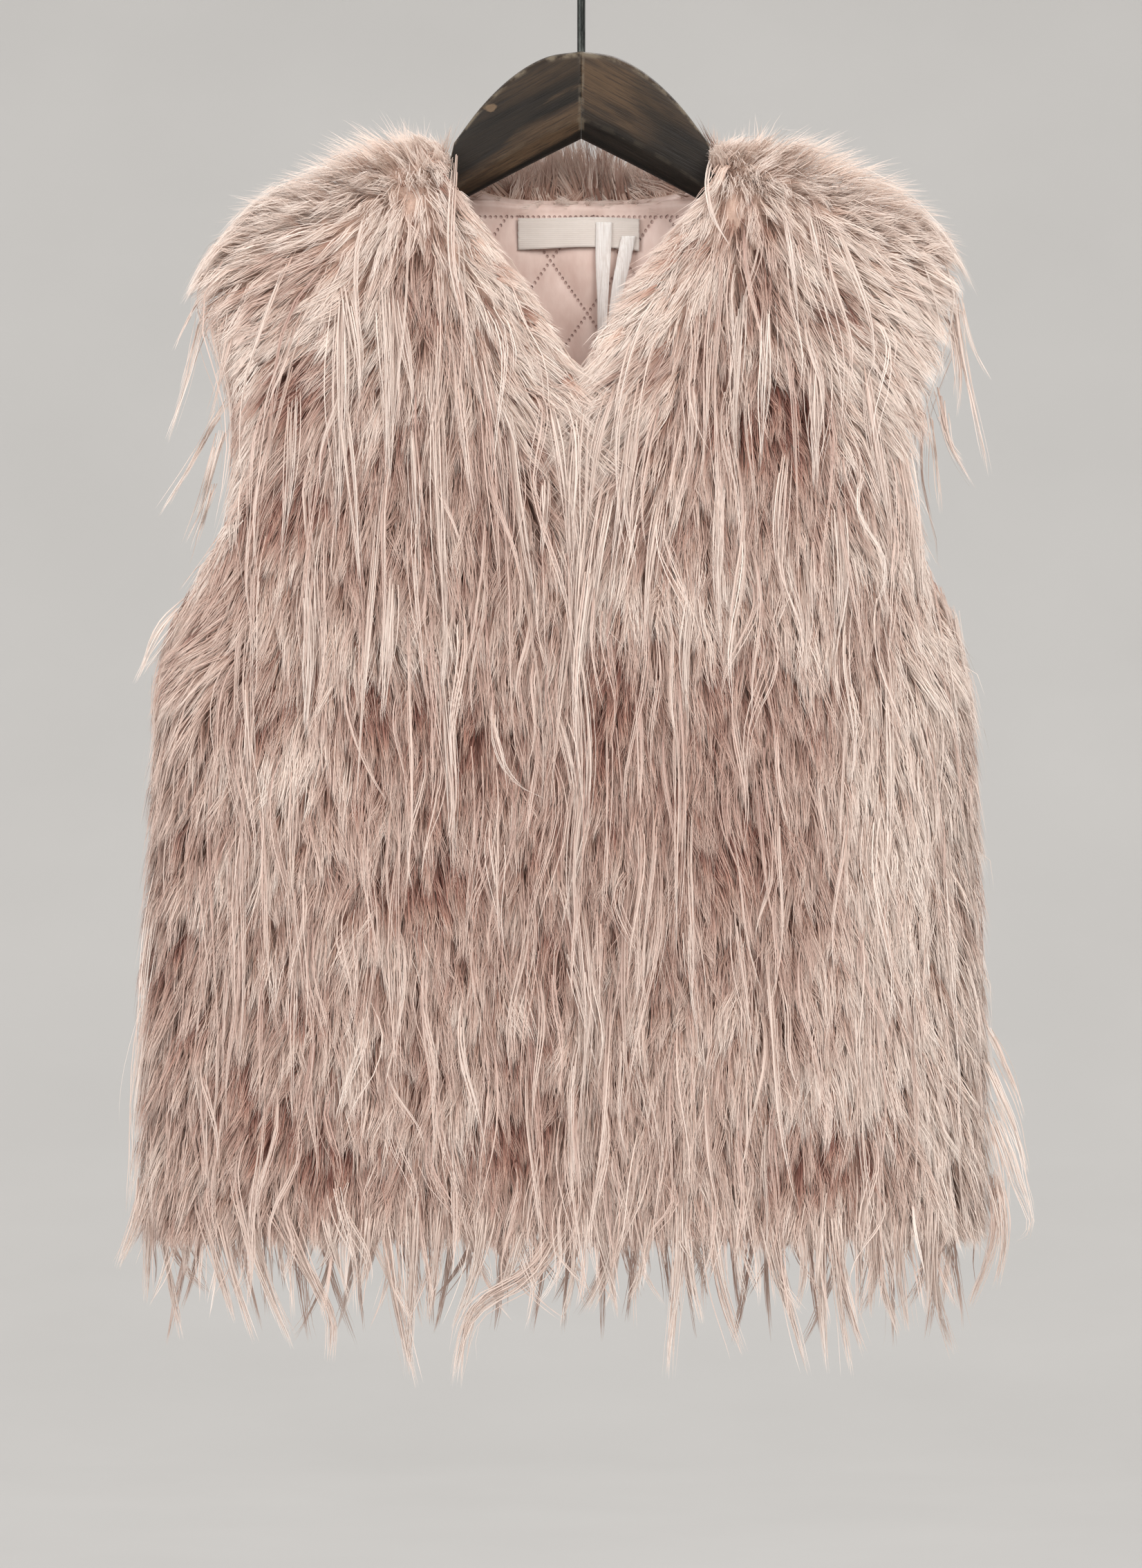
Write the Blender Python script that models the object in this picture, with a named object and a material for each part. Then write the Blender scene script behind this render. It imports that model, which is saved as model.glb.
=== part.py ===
"""A child's faux fur vest on a wooden hanger.

The front is -Y, +X is the viewer's right and +Z is up, in metres. The origin is the point inside the hook
where a rail carries it. The cloth is three walls of fur fabric, as thick as their pile, that meet at the
side seams, the shoulder seams and the centre front. A quilted lining, a blank label and two clear hanging
tapes lie inside the back neck. Locks of long fur hang from the hem, the armholes and the neckline.
"""

import bmesh
import bpy
import numpy as np
from mathutils import Vector

# Driving sizes of the whole garment
GAP = 0.0003
HEM_HEIGHT = -0.528
UNDERARM_HEIGHT = -0.292
SHOULDER_TIP = (0.137, -0.149)
NECK_POINT = (0.056, -0.115)
V_POINT_HEIGHT = -0.205
BACK_NECK_HEIGHT = -0.127
SHOULDER_ROUND = 0.030
ROUNDNESS = 2.6
UNEVEN = 0.045

# Driving sizes of the fur
PILE = 0.0165
PILE_AT_EDGE = 0.0110
EDGE_ROUND = 0.024
TUFT_HEIGHT = 0.0060
TUFT_WIDTH = 0.030
TUFT_LENGTH = 0.043

# Driving sizes of the locks and of the strips that hold their roots
STRIP_GAP = 0.0006
STRIP_DEEP = 0.0035
HEM_STRIP_DEEP = 0.0045
FRONT_HEM_LOCKS = 22
BACK_HEM_LOCKS = 36
ARMHOLE_LOCKS = 22
FRONT_NECK_LOCKS = 11
BACK_NECK_LOCKS = 12
NECK_FRINGE_REACH = 0.046
HEM_LOCK_LENGTH = (0.022, 0.056)
ARMHOLE_LOCK_LENGTH = (0.020, 0.034)
SHOULDER_LOCK_LENGTH = 0.058
NECK_LOCK_LENGTH = (0.008, 0.015)
DOWN = np.array([0.0, 0.0, -1.0])

# Driving sizes of the small pieces
LINING_THICK = 0.0012
LINING_CLEARANCE = 0.0009
LINING_TOP = -0.1352
LINING_STEPS = (5, 11)
QUILT_STEP = 0.0092
QUILT_PUFF = 0.0018
LABEL_SIZE = (0.048, 0.0125)
LABEL_THICK = 0.0008
LABEL_CENTRE = (-0.001, -0.1405)
TAPE_WIDTH = 0.0070
TAPE_THICK = 0.0006

# Driving sizes of the hanger
WOOD_TOP = -0.070
WOOD_BOTTOM = -0.104
WOOD_HALF_DEPTH = 0.0072
ARM_HALF_DEPTH = 0.0050
ARM_START = 0.050
ARM_TIP = 0.127
ARM_CLEARANCE = 0.0009
WIRE_RADIUS = 0.0016
HOOK_INSIDE_RADIUS = 0.018
HOOK_BEND_RADIUS = 0.012
HOOK_END_ANGLE = 200.0
STEM_IN_WOOD = 0.018

# Half sections of the inner cloth from hem to shoulder
BODY_COLUMNS = ("height", "half_width", "front_depth", "back_depth")
BODY_SECTIONS = (
    (-0.528, 0.1500, 0.041, 0.033),
    (-0.450, 0.1490, 0.043, 0.033),
    (-0.370, 0.1465, 0.043, 0.033),
    (-0.292, 0.1430, 0.040, 0.033),
    (-0.230, 0.1418, 0.036, 0.032),
    (-0.170, 0.1418, 0.030, 0.029),
    (-0.115, 0.1418, 0.025, 0.027),
)

# The two side edges of a front and of half a back, by the share of the way up. The inner edge is the centre
# line and then the neckline. The outer edge is the side seam and then the armhole, as a share of the body's
# half width at that height.
INNER_COLUMNS = ("share", "x", "height")
FRONT_INNER_EDGE = (
    (0.000, 0.000, HEM_HEIGHT),
    (0.600, 0.000, -0.280),
    (0.780, 0.000, V_POINT_HEIGHT),
    (0.921, 0.036, -0.146),
    (1.000, NECK_POINT[0], NECK_POINT[1]),
)
OUTER_COLUMNS = ("share", "width_share", "height")
OUTER_EDGE = (
    (0.000, 1.000, HEM_HEIGHT),
    (0.300, 1.000, -0.410),
    (0.600, 1.000, UNDERARM_HEIGHT),
    (0.680, 0.925, -0.262),
    (0.790, 0.868, -0.224),
    (0.921, 0.908, -0.179),
    (1.000, 0.966, SHOULDER_TIP[1]),
)
BACK_RISE = 0.031

# Grid of a front and of half a back: where its columns stand, as shares of the way from its inner edge to its
# outer one, and how many rows it has. One column of the back ends at the neck point. The outer points have
# twice the steps of the inner ones.
NECK_SHARE = NECK_POINT[0] / SHOULDER_TIP[0]
FRONT_COLUMNS = (0.000, 0.170, 0.340, 0.510, 0.670, 0.810, 0.920, 0.980, 1.000)
BACK_COLUMNS = (0.000, 0.140, 0.270, 0.370, NECK_SHARE, 0.600, 0.770, 0.900, 0.975, 1.000)
BODY_ROWS = 16
TOP_ROWS = 4
TOP_SHARE = 0.921

# Where the sections of one half of the hanger stand, and its upper and lower edges
ARM_STATIONS = (0.0, 0.008, 0.016, 0.024, 0.032, 0.040, 0.047, 0.054, 0.061, 0.075, 0.092, 0.110, ARM_TIP)
WOOD_COLUMNS = ("x", "top", "bottom")
WOOD_EDGES = (
    (0.000, WOOD_TOP, WOOD_BOTTOM),
    (0.014, -0.0724, -0.1110),
    (0.028, -0.0808, -0.1182),
    (0.040, -0.0928, -0.1245),
    (0.050, -0.1062, -0.1300),
    (0.060, -0.1195, -0.1345),
    (0.095, -0.1334, -0.1490),
    (0.127, -0.1470, -0.1600),
)


def column(table, names, name):
    """One named column of a table, as an array."""
    return np.array([row[names.index(name)] for row in table])


def smooth_curve(at, knots, values):
    """A cubic through the knots whose slope at each one comes from its two neighbours."""
    slopes = np.gradient(values, knots)
    i = np.clip(np.searchsorted(knots, at) - 1, 0, len(knots) - 2)
    step = knots[i + 1] - knots[i]
    t = np.clip((at - knots[i]) / step, 0, 1)
    start = (1 + 2 * t) * (1 - t) ** 2 * values[i] + t * (1 - t) ** 2 * step * slopes[i]
    end = t**2 * (3 - 2 * t) * values[i + 1] + t**2 * (t - 1) * step * slopes[i + 1]
    return start + end


def from_table(at, table, names, along, name):
    """The smooth curve of one column over another."""
    return smooth_curve(at, column(table, names, along), column(table, names, name))


def body(name, height):
    return from_table(height, BODY_SECTIONS, BODY_COLUMNS, "height", name)


def shoulder_height(x):
    """The shoulder seam is one straight slope, carried on past both of its ends."""
    slope = (SHOULDER_TIP[1] - NECK_POINT[1]) / (SHOULDER_TIP[0] - NECK_POINT[0])
    return NECK_POINT[1] + (x - NECK_POINT[0]) * slope


def row_shares(steps):
    """Shares of the way up: even steps on the body, then closer ones where the cloth rounds the hanger."""
    even = np.linspace(0, TOP_SHARE, BODY_ROWS * steps + 1)
    t = np.linspace(0, 1, TOP_ROWS * steps + 1)[1:]
    return np.concatenate([even, TOP_SHARE + (1 - TOP_SHARE) * (1 - (1 - t) ** 2)])


def inner_edge(share, is_back):
    """x and height of the centre front and neckline, or of the centre back."""
    if is_back:
        return 0 * share, HEM_HEIGHT + (BACK_NECK_HEIGHT - HEM_HEIGHT) * share
    x = from_table(share, FRONT_INNER_EDGE, INNER_COLUMNS, "share", "x")
    height = from_table(share, FRONT_INNER_EDGE, INNER_COLUMNS, "share", "height")
    return np.maximum(x, 0), height


def shoulder_rounding(x, z):
    """Share of its full depth that the cloth has, as it closes in a quarter ellipse to the shoulder seam."""
    below = np.clip((shoulder_height(x) - z - GAP / 3) / SHOULDER_ROUND, 0, 1)
    return np.sqrt(1 - (1 - below) ** 2)


def neck_line(x):
    """Height of the back neckline, carried on along the shoulder seam past the neck."""
    inside = BACK_NECK_HEIGHT + (NECK_POINT[1] - BACK_NECK_HEIGHT) * (x / NECK_POINT[0]) ** 4
    return np.where(x < NECK_POINT[0], inside, shoulder_height(x))


def column_shares(steps, table):
    """Shares of the way across, with steps columns for each one in the table."""
    count = len(table) - 1
    at = np.linspace(0, count, count * steps + 1)
    return smooth_curve(at, np.arange(count + 1.0), np.array(table))


def half_panel(steps, is_back):
    """Points of the inner cloth of a front or of half a back, rows by columns.

    Each level section is a superellipse, as deep as the body is there. The back's rows bend towards its top
    edge, and run along the neckline and then the shoulder seam."""
    columns = column_shares(steps, BACK_COLUMNS if is_back else FRONT_COLUMNS)
    share, across = np.meshgrid(row_shares(steps), columns, indexing="ij")
    x_in, z_in = inner_edge(share, is_back)
    width_share = np.minimum(from_table(share, OUTER_EDGE, OUTER_COLUMNS, "share", "width_share"), 1)
    z_out = from_table(share, OUTER_EDGE, OUTER_COLUMNS, "share", "height")
    x_out = width_share * body("half_width", z_out)
    x = x_in + (x_out - x_in) * across
    z = z_in + (z_out - z_in) * across
    if is_back:
        straight = BACK_NECK_HEIGHT + (SHOULDER_TIP[1] - BACK_NECK_HEIGHT) * across
        z += (neck_line(SHOULDER_TIP[0] * across) - straight) * share**6
    side = (1 - np.clip(x / body("half_width", z), 0, 1) ** ROUNDNESS) ** (1 / ROUNDNESS)
    side[(across == 1) & (width_share == 1)] = 0
    depth = body("back_depth" if is_back else "front_depth", z)
    y = depth * side * shoulder_rounding(x, z) + GAP / 2
    x = x if is_back else np.maximum(x, GAP / 2)
    return np.stack([x, y if is_back else -y, z], axis=-1)


def uneven(points):
    """The vest hangs a little to one side: one half is wider than the other, more so on the body."""
    ramp = 0.2 + 0.8 * np.clip((NECK_POINT[1] - points[..., 2]) / 0.18, 0, 1)
    points = points.copy()
    points[..., 0] *= 1 - UNEVEN * ramp * np.sign(points[..., 0])
    return points


def whole_back(steps):
    """The back's points from its left side edge to its right one."""
    half = half_panel(steps, True)
    return np.concatenate([half[:, :0:-1] * (-1, 1, 1), half], axis=1)


def unit(v):
    return v / np.maximum(np.linalg.norm(v, axis=-1, keepdims=True), 1e-12)


def outward_normals(points, is_back):
    """Unit normals of a grid that point out of the garment. At a seam they lie in the seam's plane."""
    normal = unit(np.cross(np.gradient(points, axis=1), np.gradient(points, axis=0)))
    normal *= np.where(normal[..., 1:2].mean() > 0, 1, -1) * (1 if is_back else -1)
    normal[-1, np.abs(points[-1, :, 1]) < GAP, 1] = 0
    normal[0, :, 2] = 0
    on_side = np.abs(points[..., 1]) < GAP
    normal[on_side, 1] = 0
    if not is_back:
        normal[:, 0, 0] = np.where(np.abs(points[:, 0, 0]) < GAP, 0, normal[:, 0, 0])
    return unit(normal)


def free_edge(points, is_back):
    """Front view points of the edges where the fur ends: hem, armholes and neckline."""
    rows = points[:, -1, 2] > UNDERARM_HEIGHT
    lines = [points[0], points[rows, -1]]
    if is_back:
        neck = np.abs(points[-1, :, 1]) > GAP
        lines += [points[rows, 0], points[-1, neck]]
    else:
        lines += [points[np.abs(points[:, 0, 0]) > GAP, 0]]
    return np.concatenate(lines)[:, [0, 2]]


def tuft_relief(across, down):
    """Height of overlapping tufts: each rises to its tip and drops off below it, in staggered rows."""
    row = down / TUFT_LENGTH + 0.22 * np.sin(across / 0.021) + 0.15 * np.sin(across / 0.0083 + 1.3)
    number = np.floor(row)
    share = row - number
    stagger = 0.5 * (number % 2) + 0.31 * np.sin(number * 2.4)
    ridge = 0.5 + 0.5 * np.cos(2 * np.pi * (across / TUFT_WIDTH + stagger))
    rise = share**1.4 * (1 - np.clip((share - 0.86) / 0.14, 0, 1) ** 2)
    return TUFT_HEIGHT * rise * (0.30 + 0.70 * ridge)


def pile_depth(points, is_back):
    """Thickness of the fur wall: full inside the panel, thinner at its free edges, with tufts on it."""
    edge = free_edge(points, is_back)
    front_view = points[..., [0, 2]]
    away = np.linalg.norm(front_view[:, :, None] - edge[None, None], axis=-1).min(axis=-1)
    rounding = np.sqrt(1 - (1 - np.clip(away / EDGE_ROUND, 0, 1)) ** 2)
    steps = np.linalg.norm(np.diff(points, axis=1), axis=-1)
    arc = np.concatenate([0 * steps[:, :1], np.cumsum(steps, axis=1)], axis=1)
    arc = arc - arc[:, arc.shape[1] // 2 : arc.shape[1] // 2 + 1] * is_back
    arc = arc * np.sign(points[:1, -1:, 0])
    relief = tuft_relief(arc, -points[..., 2])
    off_seam = np.clip(np.abs(points[..., 1]) / 0.012, 0, 1) * rounding
    return PILE_AT_EDGE + (PILE - PILE_AT_EDGE) * rounding + relief * off_seam


def fur_wall(fine, is_back):
    """The outer points over a panel's fine inner points."""
    return fine + outward_normals(fine, is_back) * pile_depth(fine, is_back)[..., None]


def mesh_object(name, points, faces, finish, parts, smooth=True):
    """One named object from points and faces, with its normals turned out."""
    mesh = bpy.data.meshes.new(name)
    mesh.from_pydata([tuple(p) for p in np.asarray(points, float)], [], faces)
    work = bmesh.new()
    work.from_mesh(mesh)
    bmesh.ops.recalc_face_normals(work, faces=work.faces)
    work.to_mesh(mesh)
    work.free()
    mesh.materials.append(finish)
    if smooth:
        mesh.shade_smooth()
    thing = bpy.data.objects.new(name, mesh)
    parts.objects.link(thing)
    return thing


def grid_faces(rows, columns, start, low_ends=False):
    """Faces of a grid of points. With low_ends, each is two triangles that meet between the corners whose
    row and column add up to an even number."""
    faces = []
    for r in range(rows):
        for c in range(columns):
            a = start + r * (columns + 1) + c
            b, d = a + 1, a + columns + 1
            e = d + 1
            if not low_ends:
                faces.append((a, b, e, d))
            elif (r + c) % 2 == 0:
                faces += [(a, b, e), (a, e, d)]
            else:
                faces += [(a, b, d), (b, e, d)]
    return faces


def boundary(rows, columns, start):
    """Point numbers round the edge of a grid, in order."""
    at = start + np.arange((rows + 1) * (columns + 1)).reshape(rows + 1, columns + 1)
    return np.concatenate([at[0, :-1], at[:-1, -1], at[-1, :0:-1], at[:0:-1, 0]]).tolist()


def wall_object(name, inner, outer, finish, parts):
    """A closed wall between a plain inner grid and an outer grid with twice its steps."""
    rows, columns = inner.shape[0] - 1, inner.shape[1] - 1
    points = np.concatenate([inner.reshape(-1, 3), outer.reshape(-1, 3)])
    first_outer = inner.shape[0] * inner.shape[1]
    faces = grid_faces(rows, columns, 0) + grid_faces(2 * rows, 2 * columns, first_outer)
    low = boundary(rows, columns, 0)
    high = boundary(2 * rows, 2 * columns, first_outer)
    for k, a in enumerate(low):
        b = low[(k + 1) % len(low)]
        c, d, e = (high[(2 * k + step) % len(high)] for step in range(3))
        faces += [(a, c, d), (a, d, b), (b, d, e)]
    return mesh_object(name, points, faces, finish, parts)


def even_wall_object(name, first, second, finish, parts, low_ends=False):
    """A closed wall between two grids of the same size."""
    rows, columns = first.shape[0] - 1, first.shape[1] - 1
    count = first.shape[0] * first.shape[1]
    points = np.concatenate([first.reshape(-1, 3), second.reshape(-1, 3)])
    faces = grid_faces(rows, columns, 0) + grid_faces(rows, columns, count, low_ends)
    ring = boundary(rows, columns, 0)
    for k, a in enumerate(ring):
        b = ring[(k + 1) % len(ring)]
        faces.append((a, b, b + count, a + count))
    return mesh_object(name, points, faces, finish, parts, smooth=False)


def resampled(line, count):
    """A line's points moved to even steps along it."""
    steps = np.linalg.norm(np.diff(line, axis=0), axis=1)
    along = np.concatenate([[0], np.cumsum(steps)])
    at = np.linspace(0, along[-1], count)
    return np.stack([np.interp(at, along, line[:, k]) for k in range(3)], axis=1)


def turned(offsets, before, after):
    """Offsets across one direction, turned to lie across another."""
    turn = Vector(before).rotation_difference(Vector(after))
    return np.array([turn @ Vector(o) for o in offsets])


def fringe(name, near, far, outward, strip, lengths, lean, taper, finish, parts):
    """A narrow strip along an edge with a four-sided lock on each of its steps, as one body.

    near and far are the strip's two long edges beside the cloth, outward is the way it leaves the cloth, and
    lean is the direction that each lock bends to. taper has a lock's width at each ring, as a share of its
    root's, before the tip."""
    count = len(near) - 1
    base = np.stack([near, far, far + strip * outward, near + strip * outward], axis=1)
    points = list(base.reshape(-1, 3))
    faces = [(0, 1, 2, 3), (4 * count, 4 * count + 3, 4 * count + 2, 4 * count + 1)]
    for k in range(count):
        a, b = 4 * k, 4 * (k + 1)
        faces += [(a, b, b + 1, a + 1), (a + 1, b + 1, b + 2, a + 2), (a + 3, b + 3, b, a)]
        ring = [a + 2, a + 3, b + 3, b + 2]
        root = np.array([points[i] for i in ring])
        centre = root.mean(axis=0)
        way = unit(outward[k] + outward[k + 1])
        step = lengths[k] / (len(taper) + 1)
        place = centre
        for number, width in enumerate(taper):
            heading = unit(way + (lean[k] - way) * (number + 1) / len(taper))
            place = place + heading * step
            fresh = place + turned(root - centre, way, heading) * width
            start = len(points)
            points += list(fresh)
            new = [start, start + 1, start + 2, start + 3]
            faces += [(ring[i], ring[(i + 1) % 4], new[(i + 1) % 4], new[i]) for i in range(4)]
            ring = new
        points.append(place + unit(lean[k]) * step)
        faces += [(ring[i], ring[(i + 1) % 4], len(points) - 1) for i in range(4)]
    return mesh_object(name, points, faces, finish, parts)


def edge_strip(inner, outer, beside, from_share, to_share):
    """The near and far lines of a strip beside a wall's rim, and the way out of the rim.

    beside is the line of points one step into the panel, which says which way is out."""
    along = unit(np.gradient(inner, axis=0))
    across = unit(outer - inner)
    out = inner - beside
    out = out - along * (out * along).sum(axis=1, keepdims=True)
    out = unit(out - across * (out * across).sum(axis=1, keepdims=True))
    near = inner + (outer - inner) * from_share + out * STRIP_GAP
    far = inner + (outer - inner) * to_share + out * STRIP_GAP
    return near, far, out


def hem_fringe(name, inner, outer, count, seed, finish, parts):
    """Long locks under one panel's hem, whose lengths and sway change gently from one to the next."""
    rng = np.random.default_rng(seed)
    near = resampled(inner + (outer - inner) * 0.25 + DOWN * GAP, count + 1)
    far = resampled(inner + (outer - inner) * 0.92 + DOWN * GAP, count + 1)
    outward = np.tile(DOWN, (count + 1, 1))
    low, high = HEM_LOCK_LENGTH
    lengths = low + (high - low) * rng.beta(1.6, 1.4, count)
    at = np.arange(count)
    sway = 0.10 * np.sin(at * 0.55 + seed) + 0.05 * np.sin(at * 1.3)
    away = unit(far - near)[:-1] * (0.10 + 0.08 * np.sin(at * 0.8 + 2))[:, None]
    lean = DOWN + np.stack([sway, 0 * sway, 0 * sway], axis=1) + away
    taper = (0.60, 0.34)
    return fringe(name, near, far, outward, HEM_STRIP_DEEP, lengths, lean, taper, finish, parts)


def joined_edges(front, front_outer, back, back_outer, top_first):
    """One line of inner, outer and beside points that runs up a front's edge and down the back's."""
    lines = []
    for panel, panel_outer, edge, beside in (
        (front, front_outer, front[:, -1], front[:, -2]),
        (back, back_outer, back[:, -1], back[:, -2]),
    ):
        lines.append((edge[top_first:], panel_outer[top_first:, -1], beside[top_first:]))
    (a, b, c), (d, e, f) = lines
    return [np.concatenate([p, q[-2::-1]]) for p, q in ((a, d), (b, e), (c, f))]


def armhole_fringe(name, front, front_outer, back, back_outer, seed, finish, parts):
    """Locks along the upper armhole, over the shoulder tip from front to back. Those at the tip are longest."""
    rng = np.random.default_rng(seed)
    first = int(np.searchsorted(front[:, -1, 2], -0.268))
    inner, outer, beside = joined_edges(front, front_outer, back, back_outer, first)
    near, far, out = edge_strip(inner, outer, beside, 0.45, 0.95)
    near, far, out = (resampled(line, ARMHOLE_LOCKS + 1) for line in (near, far, out))
    out = unit(out)
    middle = (near[:-1] + near[1:]) / 2
    near_tip = np.exp(-((middle[:, 1] / 0.010) ** 2))
    low, high = ARMHOLE_LOCK_LENGTH
    lengths = low + (high - low) * rng.random(ARMHOLE_LOCKS)
    lengths += (SHOULDER_LOCK_LENGTH - high) * near_tip * (0.8 + 0.2 * rng.random(ARMHOLE_LOCKS))
    outward = unit(out[:-1] + out[1:])
    lean = outward * (0.75 - 0.45 * near_tip)[:, None] + DOWN * (0.75 + 0.6 * near_tip)[:, None]
    taper = (0.50, 0.30)
    return fringe(name, near, far, out, STRIP_DEEP, lengths, lean, taper, finish, parts)


def neck_fringe(name, inner, outer, beside, count, seed, finish, parts):
    """Short locks along one stretch of the neckline, which lean out of the neck."""
    rng = np.random.default_rng(seed)
    near, far, out = edge_strip(inner, outer, beside, 0.35, 0.95)
    near, far, out = (resampled(line, count + 1) for line in (near, far, out))
    out = unit(out)
    low, high = NECK_LOCK_LENGTH
    lengths = low + (high - low) * rng.random(count)
    outward = unit(out[:-1] + out[1:])
    away = unit(far - near)[:-1]
    lean = outward + 0.5 * away + 0.12 * rng.standard_normal((count, 3))
    return fringe(name, near, far, out, STRIP_DEEP, lengths, lean, (0.6,), finish, parts)


def wall_depth(x, z, grid):
    """Depth of the nearest facet of a grid's wall at points of the front view, by whichever way its squares
    are split."""
    a, b, c, d = grid[:-1, :-1], grid[:-1, 1:], grid[1:, 1:], grid[1:, :-1]
    corners = [(a, b, c), (a, c, d), (a, b, d), (b, c, d)]
    first, second, third = (np.concatenate([t[k].reshape(-1, 3) for t in corners]) for k in range(3))
    u, v = second - first, third - first
    area = u[:, 0] * v[:, 2] - u[:, 2] * v[:, 0]
    at = np.stack([x.ravel(), z.ravel()], axis=1)[:, None]
    dx, dz = at[..., 0] - first[:, 0], at[..., 1] - first[:, 2]
    along_u = (dx * v[:, 2] - dz * v[:, 0]) / area
    along_v = (dz * u[:, 0] - dx * u[:, 2]) / area
    inside = (along_u > -1e-6) & (along_v > -1e-6) & (along_u + along_v < 1 + 1e-6)
    depth = first[:, 1] + along_u * u[:, 1] + along_v * v[:, 1]
    return np.where(inside, depth, np.inf).min(axis=1).reshape(x.shape)


def quilted_lining(name, back, finish, parts):
    """The lining of the back neck, puffed in diamonds between two sets of slanting stitch lines.

    The puff is the product of two sines, one across each set of lines, and a diamond is four steps wide."""
    sides, downs = LINING_STEPS
    x, row = np.meshgrid(np.arange(-sides, sides + 1) * QUILT_STEP, np.arange(downs + 1))
    z = LINING_TOP - row * QUILT_STEP
    z[0] = np.minimum(neck_line(np.abs(x[0])) - 0.0015, LINING_TOP + 0.9 * QUILT_STEP)
    turn = np.pi / (4 * QUILT_STEP)
    puff = QUILT_PUFF * np.abs(np.sin(turn * (x + z - LINING_TOP)) * np.sin(turn * (x - z + LINING_TOP)))
    puff[0] = 0
    plain = wall_depth(x, z, back) - LINING_CLEARANCE
    seen = plain - LINING_THICK - puff
    far = np.stack([x, plain, z], axis=-1)
    near = np.stack([x, seen, z], axis=-1)
    return even_wall_object(name, far, near, finish, parts, low_ends=True)


def label(name, back, finish, parts):
    """A blank woven label on the lining, made from the back's own surface moved in front of it."""
    wide, tall = LABEL_SIZE
    x, z = np.meshgrid(np.linspace(-wide / 2, wide / 2, 7), np.linspace(-tall / 2, tall / 2, 3))
    x = x + LABEL_CENTRE[0]
    z = z + LABEL_CENTRE[1] - 0.02 * x
    clear = LINING_CLEARANCE + LINING_THICK + QUILT_PUFF + GAP
    y = wall_depth(x, z, back) - clear
    near = np.stack([x, y - LABEL_THICK, z], axis=-1)
    far = np.stack([x, y, z], axis=-1)
    return even_wall_object(name, far, near, finish, parts)


def hanging_tape(name, back, top, bottom, twist, finish, parts):
    """A clear tape that hangs from the neck seam over the label, and turns a little towards its end."""
    t = np.linspace(0, 1, 9)[:, None]
    across = np.linspace(-0.5, 0.5, 3)[None, :]
    x = top[0] + (bottom[0] - top[0]) * t + TAPE_WIDTH * across * np.cos(twist * t**2)
    z = top[1] + (bottom[1] - top[1]) * t + 0 * across
    clear = LINING_CLEARANCE + LINING_THICK + QUILT_PUFF + LABEL_THICK + 2 * GAP
    sag = 0.0035 * t + TAPE_WIDTH / 2 * np.sin(twist * t**2)
    y = wall_depth(x, z, back) - clear - sag - TAPE_WIDTH * across * np.sin(twist * t**2)
    far = np.stack([x, y, z], axis=-1)
    near = np.stack([x, y - TAPE_THICK, z], axis=-1)
    return even_wall_object(name, far, near, finish, parts)


def hanger_half(name, side, finish, parts):
    """One half of the wooden hanger, as oval sections along its arm, with its half of the hook's hole."""
    stations = np.array(ARM_STATIONS)
    top = from_table(stations, WOOD_EDGES, WOOD_COLUMNS, "x", "top")
    under = shoulder_height(stations) - ARM_CLEARANCE
    top = np.where(stations > ARM_START, np.minimum(top, under), top)
    bottom = from_table(stations, WOOD_EDGES, WOOD_COLUMNS, "x", "bottom")
    deep = np.interp(stations, (0.020, ARM_START), (WOOD_HALF_DEPTH, ARM_HALF_DEPTH))
    turn = np.linspace(0, 2 * np.pi, 14, endpoint=False)
    corner = 2 / 3.4
    across = np.sign(np.cos(turn)) * np.abs(np.cos(turn)) ** corner
    up = np.sign(np.sin(turn)) * np.abs(np.sin(turn)) ** corner
    x = side * (stations[:, None] + GAP / 2) + 0 * turn
    y = deep[:, None] * across
    z = (top + bottom)[:, None] / 2 + (top - bottom)[:, None] / 2 * up
    points = np.stack([x, y, z], axis=-1).reshape(-1, 3)
    size = len(turn)
    faces = [tuple(range(size)), tuple(range(len(points) - size, len(points)))[::-1]]
    for s in range(len(stations) - 1):
        for k in range(size):
            a, b = s * size + k, s * size + (k + 1) % size
            faces.append((a, b, b + size, a + size))
    wood = mesh_object(name, points, faces, finish, parts)
    wood.data.set_sharp_from_angle(angle=np.radians(50))
    return wood


def hook_hole(cutters):
    """The cutter for the hole that the hook's stem goes down, half in each half of the hanger."""
    deep = STEM_IN_WOOD + 0.001
    bpy.ops.mesh.primitive_cylinder_add(
        vertices=16, radius=WIRE_RADIUS + GAP, depth=2 * deep, location=(0, 0, WOOD_TOP)
    )
    cutter = bpy.context.object
    cutter.name = "hook_hole"
    cutter.hide_render = True
    cutter.display_type = "WIRE"
    for holder in cutter.users_collection:
        holder.objects.unlink(cutter)
    cutters.objects.link(cutter)
    return cutter


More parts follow.
